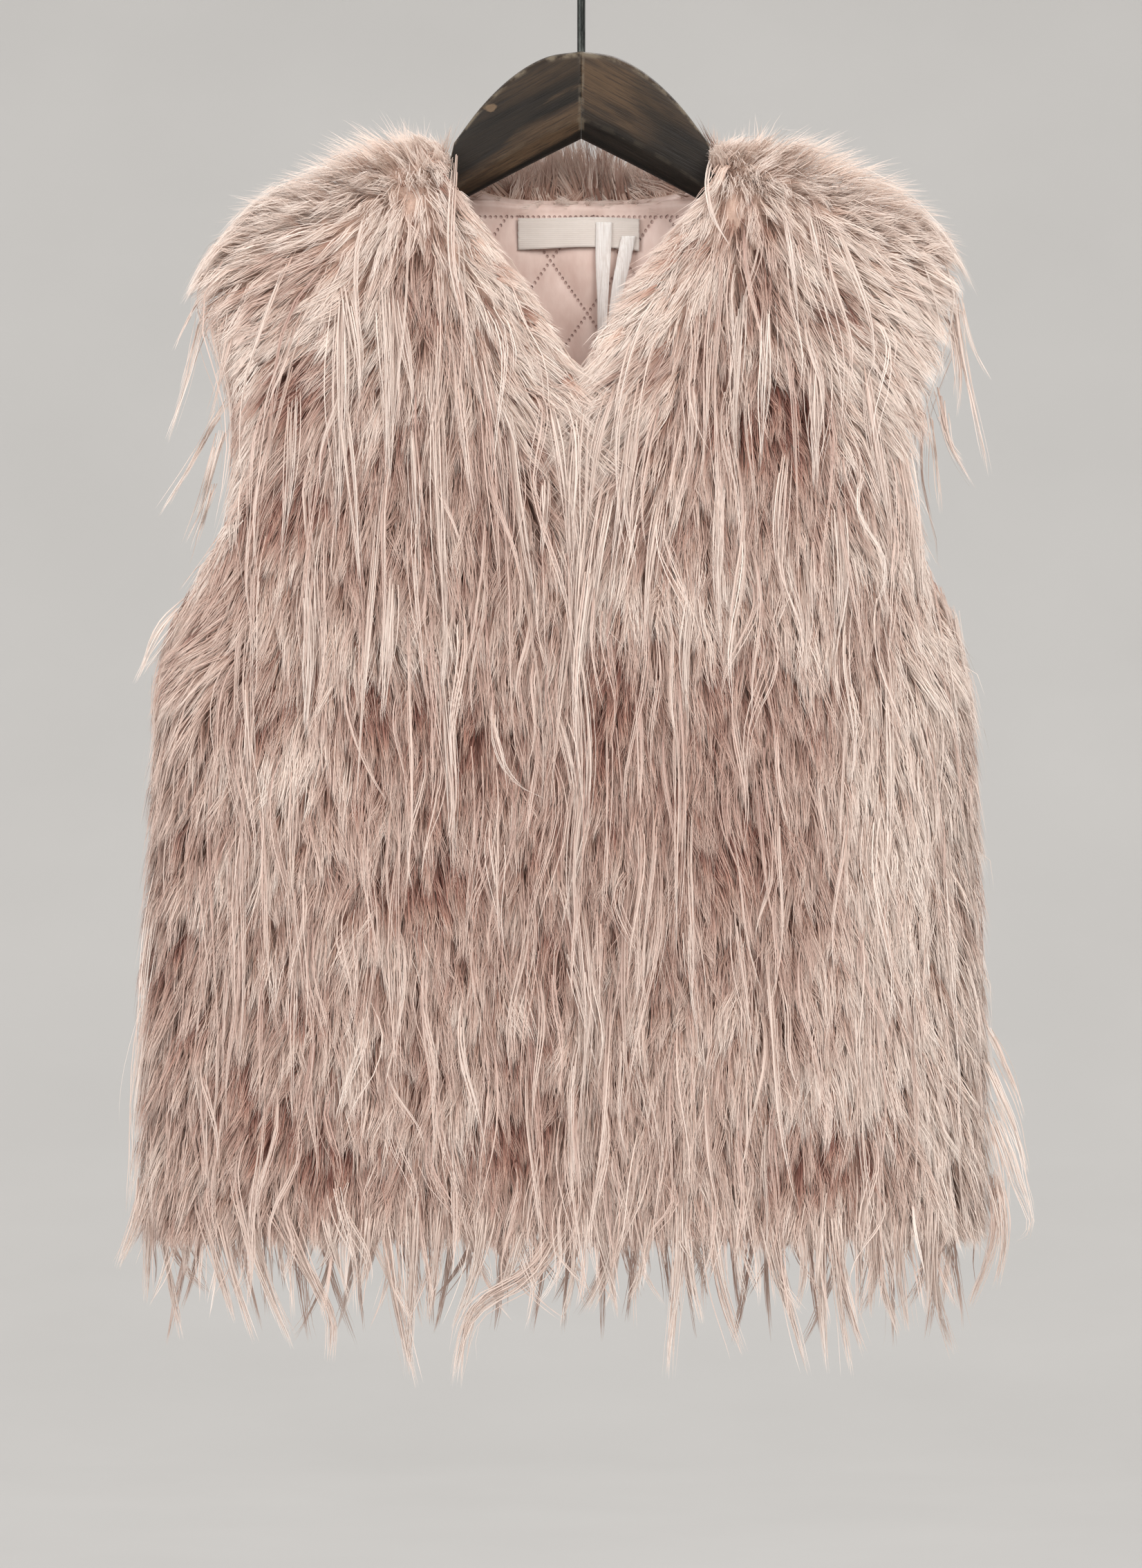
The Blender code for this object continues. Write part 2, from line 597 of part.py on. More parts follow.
def hook_wire(name, finish, parts):
    """The stem, a reverse bend and the round of the hook, as one wire."""
    ring = HOOK_INSIDE_RADIUS + WIRE_RADIUS
    centre = -HOOK_INSIDE_RADIUS
    rise = np.sqrt((HOOK_BEND_RADIUS + ring) ** 2 - HOOK_BEND_RADIUS**2)
    bend_start = centre - rise
    meeting = np.arctan2(-rise, HOOK_BEND_RADIUS)
    stem = np.linspace(WOOD_TOP - STEM_IN_WOOD, bend_start, 4)[:-1]
    line = [(0.0, z) for z in stem]
    for turn in np.linspace(np.pi, np.pi + meeting, 7)[:-1]:
        line.append((HOOK_BEND_RADIUS * (1 + np.cos(turn)), bend_start + HOOK_BEND_RADIUS * np.sin(turn)))
    for turn in np.linspace(meeting, np.radians(HOOK_END_ANGLE), 25):
        line.append((ring * np.cos(turn), centre + ring * np.sin(turn)))
    curve = bpy.data.curves.new(name, "CURVE")
    curve.dimensions = "3D"
    curve.bevel_depth = WIRE_RADIUS
    curve.bevel_resolution = 1
    curve.use_fill_caps = True
    spline = curve.splines.new("POLY")
    spline.points.add(len(line) - 1)
    for point, (x, z) in zip(spline.points, line):
        point.co = (x, 0, z, 1)
    curve.materials.append(finish)
    wire = bpy.data.objects.new(name, curve)
    parts.objects.link(wire)
    return wire


def finish(name, colour, roughness, metallic=0.0):
    made = bpy.data.materials.new(name)
    made.use_nodes = True
    shader = made.node_tree.nodes["Principled BSDF"]
    shader.inputs["Base Color"].default_value = (*colour, 1)
    shader.inputs["Roughness"].default_value = roughness
    shader.inputs["Metallic"].default_value = metallic
    return made


def build_cloth(parts, fur, lining, satin, clear):
    """The fur walls, the locks at their edges, and what lies inside the back neck."""
    back, back_fine = uneven(whole_back(1)), uneven(whole_back(2))
    back_outer = fur_wall(back_fine, True)
    for side, hand in ((1, "left"), (-1, "right")):
        inner, fine = (uneven(half_panel(steps, False) * (side, 1, 1)) for steps in (1, 2))
        outer = fur_wall(fine, False)
        wall_object(f"front_{hand}", inner, outer, fur, parts)
        hem_fringe(f"hem_fringe_front_{hand}", fine[0], outer[0], FRONT_HEM_LOCKS, 3 + side, fur, parts)
        edges = (fine, outer, back_fine[:, ::side], back_outer[:, ::side])
        armhole_fringe(f"armhole_fringe_{hand}", *edges, 7 + side, fur, parts)
        neck = (np.abs(fine[:, 0, 0]) > 0.005) & (np.abs(fine[:, 0, 0]) < NECK_POINT[0] - 0.003)
        edges = (fine[neck, 0], outer[neck, 0], fine[neck, 1])
        neck_fringe(f"neck_fringe_{hand}", *edges, FRONT_NECK_LOCKS, 21 + side, fur, parts)
    wall_object("back", back, back_outer, fur, parts)
    hem_fringe("hem_fringe_back", back_fine[0], back_outer[0], BACK_HEM_LOCKS, 11, fur, parts)
    top = np.abs(back_fine[-1, :, 0]) < NECK_FRINGE_REACH
    edges = (back_fine[-1, top], back_outer[-1, top], back_fine[-2, top])
    neck_fringe("neck_fringe_back", *edges, BACK_NECK_LOCKS, 13, fur, parts)
    quilted_lining("lining_back", back, lining, parts)
    label("label", back, satin, parts)
    hanging_tape("hanging_tape_a", back, (0.0085, -0.1345), (0.0082, -0.188), 0.9, clear, parts)
    hanging_tape("hanging_tape_b", back, (0.0195, -0.1395), (0.0165, -0.188), -0.5, clear, parts)


def build_hanger(parts, cutters, wood, metal):
    cutter = hook_hole(cutters)
    for side, hand in ((1, "left"), (-1, "right")):
        half = hanger_half(f"hanger_{hand}", side, wood, parts)
        cut = half.modifiers.new("hook_hole", "BOOLEAN")
        cut.object = cutter
        cut.operation = "DIFFERENCE"
    hook_wire("hook_wire", metal, parts)


def main():
    for thing in list(bpy.data.objects):
        bpy.data.objects.remove(thing)
    parts = bpy.data.collections.new("fur_vest_on_hanger")
    cutters = bpy.data.collections.new("cutters")
    for holder in (parts, cutters):
        bpy.context.scene.collection.children.link(holder)
    fur = finish("pink_fur", (0.72, 0.53, 0.47), 0.85)
    lining = finish("pink_lining", (0.66, 0.46, 0.43), 0.55)
    satin = finish("label_satin", (0.86, 0.82, 0.79), 0.45)
    clear = finish("clear_tape", (0.85, 0.82, 0.80), 0.20)
    wood = finish("dark_wood", (0.055, 0.036, 0.026), 0.40)
    metal = finish("black_wire", (0.030, 0.032, 0.034), 0.35, 0.9)
    build_cloth(parts, fur, lining, satin, clear)
    build_hanger(parts, cutters, wood, metal)


main()
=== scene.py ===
"""A child's faux fur vest on a wooden hanger, dressed in fur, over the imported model's frame.

The cloth follows the same sizes and tables as the part's source: +Z is up, the front faces -Y and the origin
is inside the hook. A place on a panel is a share of the way up and a share of the way across. The fur is in
three layers: a low foot, pointed tufts that lie on it like shingles, and long locks that fall over them.
"""

import bmesh
import bpy
import numpy as np
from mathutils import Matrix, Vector

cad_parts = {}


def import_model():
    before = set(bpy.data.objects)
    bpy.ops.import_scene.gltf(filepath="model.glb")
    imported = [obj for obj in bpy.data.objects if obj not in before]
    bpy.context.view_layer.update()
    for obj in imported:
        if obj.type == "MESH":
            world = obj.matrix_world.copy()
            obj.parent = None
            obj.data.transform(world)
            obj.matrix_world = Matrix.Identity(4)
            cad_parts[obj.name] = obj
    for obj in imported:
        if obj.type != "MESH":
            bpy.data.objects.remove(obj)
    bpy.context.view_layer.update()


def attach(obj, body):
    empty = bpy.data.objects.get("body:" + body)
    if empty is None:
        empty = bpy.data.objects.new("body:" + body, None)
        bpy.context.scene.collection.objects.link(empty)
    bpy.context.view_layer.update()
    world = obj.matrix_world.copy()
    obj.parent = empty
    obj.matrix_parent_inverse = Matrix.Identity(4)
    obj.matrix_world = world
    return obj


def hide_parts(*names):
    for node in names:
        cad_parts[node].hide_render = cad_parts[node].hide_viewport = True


# The garment, as in the part's source
HEM_HEIGHT = -0.528
UNDERARM_HEIGHT = -0.292
SHOULDER_TIP = (0.137, -0.149)
NECK_POINT = (0.056, -0.115)
BACK_NECK_HEIGHT = -0.127
SHOULDER_ROUND = 0.030
ROUNDNESS = 2.6
UNEVEN = 0.045
PILE = 0.0165
PILE_AT_EDGE = 0.0110
EDGE_ROUND = 0.024
SEAM_GAP = 0.0003

BODY_COLUMNS = ("height", "half_width", "front_depth", "back_depth")
BODY_SECTIONS = (
    (-0.528, 0.1500, 0.041, 0.033),
    (-0.450, 0.1490, 0.043, 0.033),
    (-0.370, 0.1465, 0.043, 0.033),
    (-0.292, 0.1430, 0.040, 0.033),
    (-0.230, 0.1418, 0.036, 0.032),
    (-0.170, 0.1418, 0.030, 0.029),
    (-0.115, 0.1418, 0.025, 0.027),
)
INNER_COLUMNS = ("share", "x", "height")
FRONT_INNER_EDGE = (
    (0.000, 0.000, HEM_HEIGHT),
    (0.600, 0.000, -0.280),
    (0.780, 0.000, -0.205),
    (0.921, 0.036, -0.146),
    (1.000, NECK_POINT[0], NECK_POINT[1]),
)
OUTER_COLUMNS = ("share", "width_share", "height")
OUTER_EDGE = (
    (0.000, 1.000, HEM_HEIGHT),
    (0.300, 1.000, -0.410),
    (0.600, 1.000, UNDERARM_HEIGHT),
    (0.680, 0.925, -0.262),
    (0.790, 0.868, -0.224),
    (0.921, 0.908, -0.179),
    (1.000, 0.966, SHOULDER_TIP[1]),
)

# The fur's foot, and the tufts on it. A tuft's roots are spread along it, and its tips meet.
FOOT_SHARE = 0.50
TUFTS = {"front_left": 2750, "front_right": 2750, "back": 2300}
FINE_TUFTS = 1250
TUFT_STRANDS = 21
TUFT_RINGS = 3
TUFT_LENGTH = 0.0255
TUFT_ASIDE = 0.0025
TUFT_ALONG = 0.0034
TUFT_HALF_WIDTH = 0.00026
FINE_SIZE = 0.62
TOP_ZONE = 0.018
TOP_OUT = 0.052
TUFT_PAST_HEM = (0.004, 0.009)
LOOSE_SHARE = 0.035
TONE_EDGE = 0.008

# The long locks that fall over the tufts
LOCKS = {"front_left": 150, "front_right": 150, "back": 400}
LOCK_STRANDS = 8
LOCK_RINGS = 8
LOCK_HALF_WIDTH = 0.00020
LOCK_WAIST = 0.45
LOCK_PINCH = 0.75
LOCK_LIMPNESS = 0.55
PLACED_LOCK_RINGS = 10

# Single fine hairs that leave the outline of the shoulders
FLYAWAYS = 900
FLYAWAY_RINGS = 4
FLYAWAY_HALF_WIDTH = 0.00012

# How far the short fur reaches in the front view: to the left and right at a height, up at a distance from
# the middle, and in towards the middle along the V of the neck
SIDE_COLUMNS = ("height", "left", "right")
SIDE_REACH = (
    (-0.540, 0.180, 0.170),
    (-0.509, 0.178, 0.167),
    (-0.463, 0.176, 0.162),
    (-0.433, 0.174, 0.161),
    (-0.372, 0.171, 0.159),
    (-0.335, 0.168, 0.157),
    (-0.304, 0.169, 0.154),
    (-0.278, 0.156, 0.149),
    (-0.261, 0.144, 0.142),
    (-0.240, 0.139, 0.135),
    (-0.209, 0.137, 0.138),
    (-0.185, 0.145, 0.147),
    (-0.169, 0.153, 0.150),
    (-0.139, 0.158, 0.156),
)
TOP_COLUMNS = ("x", "left", "right")
TOP_REACH = (
    (0.030, -0.128, -0.126),
    (0.049, -0.115, -0.110),
    (0.060, -0.104, -0.105),
    (0.079, -0.101, -0.101),
    (0.090, -0.107, -0.104),
    (0.100, -0.113, -0.108),
    (0.120, -0.1235, -0.120),
    (0.135, -0.137, -0.132),
    (0.147, -0.1535, -0.151),
    (0.156, -0.170, -0.170),
)
NECK_COLUMNS = ("height", "left", "right")
NECK_REACH = (
    (-0.209, -0.030, -0.030),
    (-0.1975, -0.002, -0.001),
    (-0.1835, 0.0075, 0.0045),
    (-0.1607, 0.021, 0.012),
    (-0.1390, 0.037, 0.030),
    (-0.1300, 0.0435, 0.0445),
    (-0.1200, 0.049, 0.050),
    (-0.1050, 0.052, 0.053),
)
REACH_SOFT = 0.005
REACH_SPREAD = 0.0016
NECK_CLEAR = 0.045
NORMAL_STEP = 0.004
AT_A_TIME = 4000

# Where the lie of the fur changes: from a first to a last height, or distance off the middle. The place under
# the arm is a height and how far it reaches.
COMB_CHEST = (-0.320, -0.180)
COMB_NECK = (-0.180, -0.120)
COMB_V = (-0.285, -0.195)
COMB_SHOULDER = (-0.225, -0.140)
COMB_OUT = (0.060, 0.112)
UNDER_ARM = (-0.298, 0.022)
UNDER_ARM_OUT = (0.105, 0.140)
RIPPLE_WAVES = 5
RIPPLE_SCALE = 2.6

# Where the fur's colour changes, in the same way: on the shoulders, along the V, down each side, at the hem,
# and below the edge of the fur that hangs from the chest, where shade is painted, with a highlight painted
# just above that edge
STRAND_HANG = 0.009
PALE_MEAN = 0.62
PALE_SHOULDER = (-0.235, -0.150)
PALE_V = (-0.27, -0.21)
PALE_V_OFF = (0.050, 0.020)
PALE_SIDE_LEFT = (0.078, 0.115)
PALE_SIDE_RIGHT = (0.078, 0.100)
PALE_HEM = (-0.420, -0.455)
CHEST_END = (-0.435, -0.385)
CHEST_OUT = (0.100, 0.085)
PAINTED_CHEST_HIGHLIGHT = (0.020, 0.016)

# Height of the lower edge of the fur that hangs from the chest, and the patches where the fur parts, where
# shade is painted with the darker roots that show there: x, height, half width, half height and depth. A
# depth below zero is a paler patch.
CHEST_EDGE = -0.315
PARTINGS_WITH_PAINTED_SHADE = (
    (-0.102, -0.250, 0.018, 0.009, 0.60),
    (-0.060, -0.174, 0.010, 0.014, 0.45),
    (-0.102, -0.206, 0.011, 0.012, 0.35),
    (-0.045, -0.250, 0.034, 0.034, 0.14),
    (-0.053, -0.330, 0.020, 0.008, 0.35),
    (-0.117, -0.330, 0.007, 0.014, 0.40),
    (-0.061, -0.398, 0.016, 0.012, 0.25),
    (-0.009, -0.430, 0.006, 0.016, 0.35),
    (-0.033, -0.434, 0.010, 0.006, 0.25),
    (-0.154, -0.423, 0.007, 0.016, 0.30),
    (-0.130, -0.470, 0.010, 0.014, 0.38),
    (-0.113, -0.489, 0.009, 0.008, 0.70),
    (-0.094, -0.504, 0.010, 0.009, 0.60),
    (-0.025, -0.491, 0.012, 0.013, 0.80),
    (-0.110, -0.360, 0.030, 0.045, -0.11),
    (-0.075, -0.298, 0.035, 0.012, -0.10),
    (0.066, -0.165, 0.010, 0.014, 0.40),
    (0.093, -0.182, 0.008, 0.010, 0.30),
    (0.058, -0.205, 0.018, 0.030, 0.20),
    (0.079, -0.226, 0.009, 0.022, 0.45),
    (0.100, -0.243, 0.008, 0.012, 0.35),
    (0.030, -0.255, 0.020, 0.022, 0.15),
    (0.104, -0.298, 0.009, 0.018, 0.30),
    (0.012, -0.325, 0.008, 0.020, 0.45),
    (0.062, -0.385, 0.009, 0.016, 0.30),
    (0.062, -0.424, 0.008, 0.010, 0.22),
    (0.106, -0.498, 0.014, 0.009, 0.75),
    (0.084, -0.507, 0.016, 0.007, 0.60),
)

# The lining, the label and the tapes inside the back neck
LINING_SIZE = (0.092, 0.101)
LINING_TOP = -0.1352
LINING_THICK = 0.0012
LINING_CLEARANCE = 0.0009
QUILT_HALF = (0.0146, 0.0208)
QUILT_CORNER = (-0.01215, -0.1507)
QUILT_PUFF = 0.0018
STITCH_STEP = 0.0021
LABEL_SIZE = (0.048, 0.0118)
LABEL_CENTRE = (-0.001, -0.1398)
LABEL_THICK = 0.0006
TAPE_THICK = 0.0003
TAPE_COLUMNS = ("x_mm", "height_mm", "width_mm", "lift_mm")
TAPE_A = ((8.9, -135.6, 6.2, 0), (8.6, -150, 6.0, 1.0), (8.4, -165, 4.6, 2.6), (8.0, -187, 3.2, 4.4))
TAPE_B = ((18.6, -141, 5.6, 0), (16.4, -152, 5.6, 1.6), (13.8, -165, 4.8, 3.4), (11.0, -187, 3.2, 4.6))
TAPE_TWISTS = (0.35, -0.45)
STITCH_ROW_HEIGHT = -0.1335

# The hanger
WOOD_HALF_DEPTH = 0.0072
ARM_HALF_DEPTH = 0.0050
ARM_START = 0.050
ARM_TIP = 0.127
ARM_CLEARANCE = 0.0009
ARM_TIP_ROUND = 0.004
GRAIN_SLOPE = 0.56
CHIP = (-0.0357, -0.0923)
WIRE_RADIUS = 0.0016
HOOK_INSIDE_RADIUS = 0.018
HOOK_BEND_RADIUS = 0.012
HOOK_END_ANGLE = 200.0
STEM_IN_WOOD = 0.018
WOOD_COLUMNS = ("x", "top", "bottom")
WOOD_EDGES = (
    (0.000, -0.0700, -0.1040),
    (0.014, -0.0724, -0.1110),
    (0.028, -0.0808, -0.1182),
    (0.040, -0.0928, -0.1245),
    (0.050, -0.1062, -0.1300),
    (0.060, -0.1195, -0.1345),
    (0.095, -0.1334, -0.1490),
    (0.127, -0.1470, -0.1600),
)
# Half of the wood's section, from the middle of its top to the middle of its underside: across and up in
# shares of its half depth and half height, and how worn it is there, which also sets the highlight painted
# along its edges
WOOD_SECTION = (
    (0.00, 1.00, 0.3),
    (0.42, 0.998, 0.4),
    (0.70, 0.985, 0.8),
    (0.87, 0.95, 1.0),
    (0.965, 0.90, 0.8),
    (1.0, 0.82, 0.25),
    (1.0, 0.45, 0.0),
    (1.0, 0.05, 0.0),
    (1.0, -0.35, 0.0),
    (0.995, -0.52, 0.45),
    (0.95, -0.60, 0.45),
    (0.86, -0.66, 0.0),
    (0.62, -0.80, 0.0),
    (0.40, -0.95, 0.1),
    (0.22, -1.00, 0.1),
    (0.0, -1.0, 0.0),
)

# Colours along a strand from its root to its tip: in the darkest strands, then in the palest
UNDER_DARK = (
    (0.0, (0.11, 0.040, 0.030)),
    (0.48, (0.18, 0.070, 0.053)),
    (0.74, (0.45, 0.245, 0.190)),
    (0.92, (0.70, 0.50, 0.415)),
)
UNDER_PALE = (
    (0.0, (0.38, 0.205, 0.155)),
    (0.36, (0.67, 0.475, 0.385)),
    (0.68, (0.81, 0.690, 0.612)),
    (1.0, (0.85, 0.768, 0.712)),
)
GUARD_DARK = ((0.0, (0.36, 0.22, 0.19)), (0.35, (0.50, 0.34, 0.29)), (1.0, (0.62, 0.46, 0.39)))
GUARD_PALE = ((0.0, (0.62, 0.47, 0.39)), (0.25, (0.77, 0.660, 0.588)), (1.0, (0.82, 0.742, 0.688)))

# The camera and the floor
CAMERA_DISTANCE = 5.0
FRAME_HEIGHT = 0.6124
FRAME_CENTRE = (-0.004, -0.356)
FLOOR_HEIGHT = -1.10
FLOOR_SIDES = 96
# Radius and height of the floor's rings
FLOOR_PROFILE = (
    (3.0, FLOOR_HEIGHT),
    (6.3, FLOOR_HEIGHT),
    (7.6, -1.02),
    (8.8, -0.75),
    (9.7, -0.2),
    (10.3, 0.6),
    (10.6, 1.8),
)
# Name, place, what it is turned to, size across, power and colour of each lamp
LIGHTS = (
    ("key", (1.2, -2.5, 1.3), (0, 0, -0.33), 1.8, 61, (1.0, 0.97, 0.93)),
    ("fill", (-1.7, -2.3, 0.3), (0, 0, -0.35), 2.0, 41, (1.0, 0.98, 0.96)),
    ("back", (1.2, 3.4, 3.0), (0, 0, -0.30), 2.0, 90, (1, 1, 1)),
)

# The main locks: the points that each one passes, in the front view in millimetres, then how wide it is
# and how many strands it has
UPPER_LEFT = (
    ((-92.6, -162.1), (-93.2, -212.0), (-94.8, -265.2), 4.5, 26),
    ((-91.3, -162.1), (-87.2, -185.0), (-84.8, -209.1), 2.5, 14),
    ((-75.6, -157.8), (-74.2, -201.2), (-74.5, -243.9), 5.0, 32),
    ((-71.3, -166.7), (-67.2, -190.4), (-64.5, -213.6), 2.5, 14),
    ((-56.4, -191.2), (-54.3, -249.8), (-51.6, -316.0), 4.0, 26),
    ((-48.9, -110.8), (-50.0, -157.8), (-44.3, -180.2), (-36.5, -208.0), 1.6, 10),
    ((-35.9, -201.2), (-27.8, -214.7), (-23.2, -236.3), 2.4, 12),
    ((-92.9, -197.4), (-88.0, -244.4), (-84.2, -287.9), 2.6, 14),
    ((-106.7, -271.7), (-105.6, -303.8), (-106.7, -340.0), 4.5, 24),
    ((-128.8, -309.0), (-127.7, -341.6), (-128.8, -371.1), 3.5, 18),
    ((-73.2, -271.7), (-74.2, -303.8), (-76.7, -333.8), 3.0, 16),
    ((-28.4, -209.9), (-23.5, -254.4), (-16.2, -296.5), 2.8, 16),
    ((-13.5, -234.7), (-13.8, -252.5), (-16.2, -271.7), 2.5, 12),
    ((-33.5, -322.7), (-33.5, -340.0), (-24.8, -356.2), (-12.4, -362.4), 1.6, 10),
    ((-52.9, -309.2), (-50.2, -349.7), (-49.4, -395.6), 3.4, 18),
    ((-13.8, -201.2), (-7.8, -233.6), (-4.1, -274.1), 2.6, 14),
    ((-40.8, -179.6), (-32.1, -222.8), (-27.3, -266.0), 2.4, 12),
    ((-111.0, -201.2), (-112.6, -239.0), (-116.9, -274.1), 3.0, 14),
    ((-65.1, -214.7), (-64.0, -244.4), (-61.8, -276.8), 2.4, 12),
)
OUTER_LEFT = (
    ((-146.1, -168.8), (-151.7, -190.4), (-162.0, -223.6), 3.4, 16),
    ((-148.8, -166.1), (-155.5, -179.6), (-159.0, -187.7), 2.0, 8),
    ((-133.9, -173.4), (-139.3, -195.8), (-146.3, -220.4), 2.6, 12),
    ((-137.4, -206.6), (-150.1, -228.2), (-164.2, -252.5), 2.6, 12),
    ((-139.1, -218.8), (-146.1, -241.7), (-154.7, -263.3), 3.2, 16),
    ((-142.8, -239.0), (-148.8, -257.9), (-153.6, -272.0), 2.6, 12),
)
UPPER_RIGHT = (
    ((74.8, -110.8), (81.5, -153.2), (84.8, -188.0), 2.6, 12),
    ((87.2, -127.5), (94.0, -163.2), (96.1, -173.4), 2.6, 12),
    ((52.4, -108.1), (48.6, -120.2), (51.0, -136.4), (58.1, -148.6), 1.4, 8),
    ((90.5, -185.8), (91.5, -214.7), (90.5, -242.8), 5.5, 34),
    ((109.6, -191.2), (115.0, -230.4), (121.8, -265.2), 4.0, 22),
    ((72.6, -168.8), (71.6, -201.2), (69.1, -236.1), 3.5, 18),
    ((41.3, -196.9), (42.4, -217.4), (41.3, -239.3), 3.0, 14),
    ((62.4, -163.4), (59.1, -201.2), (59.7, -236.3), 2.6, 14),
    ((53.7, -236.3), (52.1, -274.1), (53.7, -309.2), 3.4, 18),
    ((99.6, -244.4), (101.2, -282.2), (96.9, -317.3), 3.5, 18),
    ((80.7, -222.8), (77.5, -260.6), (78.6, -293.0), 3.4, 18),
    ((21.3, -212.0), (17.0, -244.4), (10.5, -282.8), 3.0, 16),
    ((13.2, -201.2), (6.8, -222.8), (2.4, -255.2), 3.0, 16),
    ((32.1, -239.0), (26.7, -274.1), (24.0, -309.2), 3.0, 14),
    ((123.9, -222.8), (128.8, -255.2), (132.0, -293.0), 3.5, 16),
    ((42.9, -276.8), (40.2, -306.5), (41.3, -336.2), 3.0, 16),
    ((11.6, -239.0), (5.7, -274.1), (1.4, -309.2), 3.0, 16),
)
OUTER_RIGHT = (
    ((144.2, -156.7), (149.9, -195.8), (158.8, -237.1), 3.6, 18),
    ((142.3, -168.8), (146.6, -190.4), (146.1, -213.6), 4.0, 20),
    ((138.0, -201.2), (142.8, -222.8), (153.1, -241.7), 2.8, 14),
    ((135.3, -212.0), (138.0, -230.9), (139.9, -251.2), 2.4, 10),
    ((147.2, -166.1), (152.0, -185.0), (159.8, -200.1), 1.8, 6),
    ((140.7, -212.0), (145.0, -225.5), (148.8, -230.4), 2.0, 10),
)
CENTRE = (
    ((0.3, -205.3), (-2.4, -255.2), (-0.3, -309.2), 4.6, 15),
    ((3.5, -239.0), (-1.4, -293.0), (0.3, -352.4), 5.0, 16),
    ((-3.5, -293.0), (0.8, -347.0), (-3.0, -409.1), 5.0, 18),
    ((2.4, -341.6), (-2.4, -392.9), (1.4, -449.6), 4.6, 15),
    ((-1.9, -401.0), (1.4, -441.5), (-1.4, -492.8), 4.6, 14),
    ((-7.8, -222.8), (-0.8, -266.0), (4.1, -301.1), 2.2, 10),
    ((7.8, -260.6), (1.4, -293.0), (-3.5, -333.5), 2.2, 10),
    ((-11.1, -322.7), (-3.5, -352.4), (-1.4, -387.5), 2.4, 12),
    ((5.7, -363.2), (-0.8, -384.8), (-7.8, -411.8), 2.0, 8),
    ((-6.8, -417.2), (-0.3, -438.8), (7.3, -471.2), 2.0, 8),
)
HEM_LEFT = (
    ((-168.8, -506.3), (-173.1, -525.2), (-180.9, -545.5), 5.0, 26),
    ((-167.7, -509.0), (-168.2, -536.0), (-170.1, -559.0), 3.4, 20),
    ((-165.0, -509.0), (-161.2, -544.1), (-155.8, -573.0), 4.5, 28),
    ((-150.4, -509.0), (-142.0, -538.7), (-135.0, -565.7), 5.0, 30),
    ((-141.2, -517.1), (-133.9, -549.5), (-126.6, -573.5), 3.0, 18),
    ((-132.0, -514.4), (-123.1, -546.8), (-111.8, -575.4), 5.0, 32),
    ((-119.9, -514.4), (-105.6, -544.1), (-96.7, -562.5), (-97.2, -580.3), 5.0, 34),
    ((-92.1, -519.8), (-96.1, -533.3), (-101.5, -544.1), 3.0, 16),
    ((-75.9, -519.8), (-71.0, -557.6), (-63.7, -590.8), 4.5, 30),
    ((-64.8, -509.0), (-65.6, -549.5), (-67.8, -586.0), 4.5, 30),
    ((-54.3, -514.4), (-56.4, -541.4), (-59.7, -564.4), 4.0, 22),
    ((-34.8, -514.4), (-40.8, -544.1), (-49.7, -568.7), 5.0, 30),
    ((-5.1, -519.8), (-19.2, -544.1), (-41.6, -559.0), (-48.3, -590.0), 8.0, 54),
    ((-100.2, -517.1), (-94.2, -541.4), (-88.8, -557.6), 3.5, 18),
    ((-2.4, -525.2), (-4.1, -549.5), (-8.6, -566.8), 3.0, 16),
    ((-156.3, -514.4), (-153.6, -536.0), (-152.6, -549.5), 4.0, 18),
    ((-82.6, -517.1), (-84.0, -538.7), (-86.7, -553.6), 4.0, 20),
    ((-46.2, -519.8), (-40.8, -536.0), (-38.1, -549.5), 3.5, 16),
    ((-21.9, -525.2), (-28.6, -546.8), (-32.7, -557.6), 4.0, 20),
)
HEM_RIGHT = (
    ((20.0, -509.0), (11.9, -538.7), (1.6, -561.4), 6.0, 32),
    ((39.4, -506.3), (37.0, -549.5), (34.0, -587.3), 5.0, 34),
    ((38.1, -519.8), (42.4, -546.8), (47.0, -566.3), 4.0, 20),
    ((48.9, -519.8), (54.3, -552.2), (62.9, -577.9), 4.4, 26),
    ((69.9, -519.8), (75.3, -546.8), (83.4, -566.3), 4.5, 24),
    ((71.3, -517.1), (79.4, -554.9), (88.6, -585.7), 4.0, 24),
    ((91.0, -514.4), (92.6, -552.2), (95.3, -585.2), 4.0, 26),
    ((93.7, -519.8), (100.7, -549.5), (109.9, -577.3), 4.4, 26),
    ((97.5, -514.4), (100.2, -554.9), (105.0, -587.1), 4.5, 28),
    ((111.0, -519.8), (112.6, -544.1), (112.3, -563.6), 3.6, 18),
    ((113.7, -525.2), (117.5, -552.2), (123.9, -571.1), 4.0, 22),
    ((122.9, -519.8), (123.4, -546.8), (126.9, -570.0), 4.5, 26),
    ((136.1, -509.0), (134.7, -538.7), (135.0, -563.8), 4.5, 26),
    ((136.4, -519.8), (138.0, -552.2), (145.8, -579.8), 4.4, 28),
    ((148.8, -519.8), (142.8, -541.4), (141.8, -560.3), 4.0, 20),
    ((162.0, -509.0), (160.7, -533.3), (150.9, -561.4), 4.5, 26),
    ((160.7, -506.3), (165.0, -530.6), (161.7, -553.8), 4.5, 26),
    ((7.3, -522.5), (11.1, -546.8), (14.0, -563.0), 3.5, 18),
    ((26.7, -519.8), (23.0, -544.1), (17.3, -557.6), 4.0, 20),
    ((59.1, -519.8), (60.8, -544.1), (64.0, -557.6), 3.5, 16),
    ((83.4, -522.5), (86.1, -544.1), (83.4, -560.3), 3.5, 16),
)
SIDE_RIGHT = (
    ((158.0, -449.6), (167.7, -471.2), (173.1, -487.4), 3.4, 16),
    ((157.4, -463.1), (167.7, -487.4), (174.2, -509.0), 4.0, 20),
    ((158.5, -479.3), (169.3, -509.0), (173.6, -532.0), (168.2, -534.9), 4.4, 24),
    ((159.0, -487.4), (164.4, -509.0), (166.6, -525.2), 3.4, 16),
)
